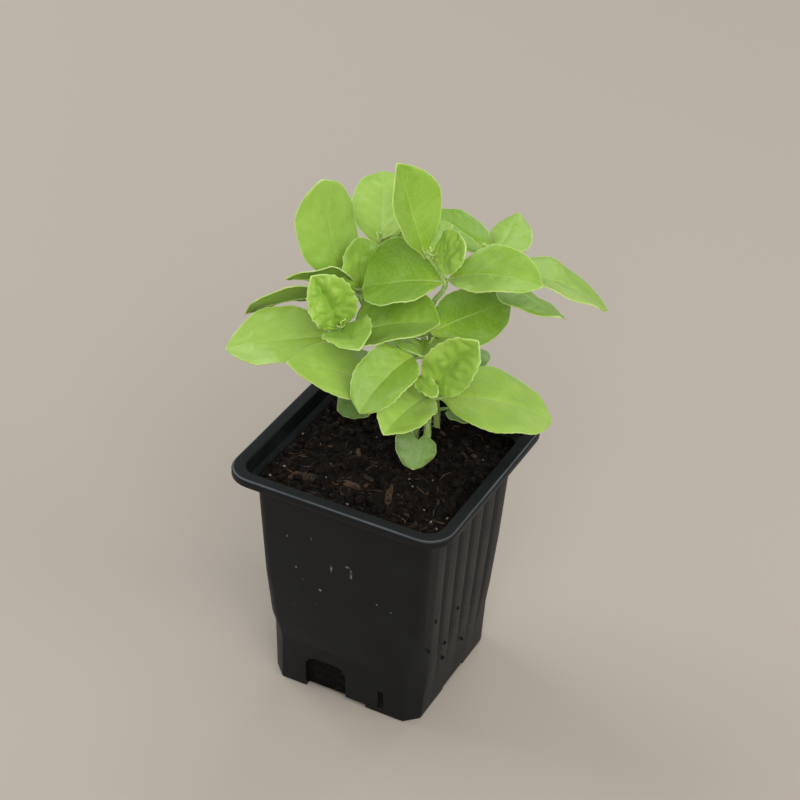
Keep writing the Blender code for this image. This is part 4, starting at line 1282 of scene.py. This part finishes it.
# %% Hairs
def hairs_on(points, radii, count, seed):
    """Fine spikes standing on a round bar."""
    chance = random.Random(seed)
    vertices, faces = [], []
    for _ in range(count):
        index = chance.randrange(len(points) - 1)
        share = chance.random()
        middle = points[index].lerp(points[index + 1], share)
        radius = radii[index] + (radii[index + 1] - radii[index]) * share
        run = (points[index + 1] - points[index]).normalized()
        outward = run.orthogonal().normalized()
        outward.rotate(Matrix.Rotation(chance.uniform(0, 2 * math.pi), 3, run))
        foot = middle + outward * radius * 0.92
        tip = foot + (outward + run * chance.uniform(-0.5, 0.3)) * chance.uniform(*HAIR_LENGTHS)
        beside, start = outward.cross(run), len(vertices)
        for turn in range(3):
            angle = turn * 2 * math.pi / 3
            corner = run * math.cos(angle) + beside * math.sin(angle)
            vertices.append((foot + corner * HAIR_RADIUS) * MM)
        vertices.append(tip * MM)
        for three in ((0, 1, 3), (1, 2, 3), (2, 0, 3), (0, 2, 1)):
            faces.append([start + number for number in three])
    mesh = bpy.data.meshes.new("hairs")
    mesh.from_pydata(vertices, [], faces)
    mesh.materials.append(hair_skin)
    item = put("hairs", mesh)
    with editing(item):
        bpy.ops.mesh.normals_make_consistent(inside=False)
    return item


# %% Growing seedlings
def grow(name, plant, number):
    """Stem, stalks, leaves, tip and hairs of one seedling as one piece."""
    root = Vector((*ROOTS[name], SOIL_LEVEL))
    stem = stem_thread(plant)
    stem.data.materials.append(stem_skin)
    parts = [stem]
    for index, one in enumerate(plant.leaves):
        stalk = stalk_thread(plant, one)
        stalk.data.materials.append(stem_skin)
        parts.append(stalk)
        parts.append(shape_leaf(f"leaf_{index}", leaf_base(plant, one), one))
    for index in range(4):
        heading = plant.leaves[0].heading + 45 + 90 * index
        bud = young(heading, 72 - 4 * index, 2.6 + 0.3 * index, 1.8, 40, 0.6)
        parts.append(shape_leaf(f"bud_{index}", leaf_base(plant, bud), bud))
    points = [stem_point(plant, step / 20) for step in range(21)]
    radii = [STEM_RADIUS - 0.015 * step for step in range(21)]
    parts.append(hairs_on(points, radii, HAIRS, 300 + number))
    piece = join_as(f"leafy_stem_{name}", parts)
    piece.data.transform(Matrix.Translation(root * MM))
    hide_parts(f"basil_plant_{name}")
    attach(piece, "root")
    print(piece.name, sum(len(face.vertices) - 2 for face in piece.data.polygons), "triangles")


for number, (name, plant) in enumerate(PLANTS.items()):
    grow(name, plant, number)

# %% [markdown]
# ## Floor and light
# The pot stands on a plain pale floor. A high soft light at the camera's side, a cooler one at the left, a
# warm one at the right and one from behind stand for daylight in open shade, and the world fills the
# shadows.

# %% Floor
bpy.ops.object.select_all(action="DESELECT")
bpy.ops.mesh.primitive_plane_add(size=6.0, location=(0, 0, 0))
floor = bpy.context.object
floor.name = "floor"
# Matt painted board: it throws soft, slightly warm light back up at the pot's sides.
board = new_material("pale_painted_board", Base_Color=hex_colour("#AAA196"), Roughness=0.9)[0]
floor.data.materials.append(board)
floor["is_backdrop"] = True
print("floor finish", board.name)


# %% Light
def soft_light(name, place, size, power, colour):
    """A square area light that looks at the plant: place and size in metres, power in watts."""
    lamp = bpy.data.lights.new(name, "AREA")
    lamp.size, lamp.energy, lamp.color = size, power, colour
    item = put(name, lamp)
    item.location = place
    item.rotation_euler = (Vector((0, 0, 0.09)) - Vector(place)).to_track_quat("-Z", "Y").to_euler()


soft_light("high_window", (0.5, -0.75, 0.85), 0.9, 10.6, (1.0, 0.99, 0.97))
soft_light("left_fill", (-1.0, 0.1, 0.7), 0.9, 8.0, (0.97, 0.99, 1.0))
soft_light("right_fill", (1.0, 0.0, 0.6), 0.9, 4.5, (1.0, 0.95, 0.88))
soft_light("back_window", (0.0, 1.0, 0.9), 0.9, 5.0, (0.97, 0.99, 1.0))
world = bpy.data.worlds.new("soft_daylight")
world.use_nodes = True
sky = world.node_tree.nodes["Background"].inputs
sky["Color"].default_value, sky["Strength"].default_value = (0.97, 0.98, 1.0, 1.0), 0.32
bpy.context.scene.world = world
bpy.context.scene.view_settings.view_transform = "Standard"

# %% Measure and finish
dressed_box = [list(corner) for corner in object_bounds()]
print("dressed box in mm", [[round(value * 1000, 1) for value in corner] for corner in dressed_box])
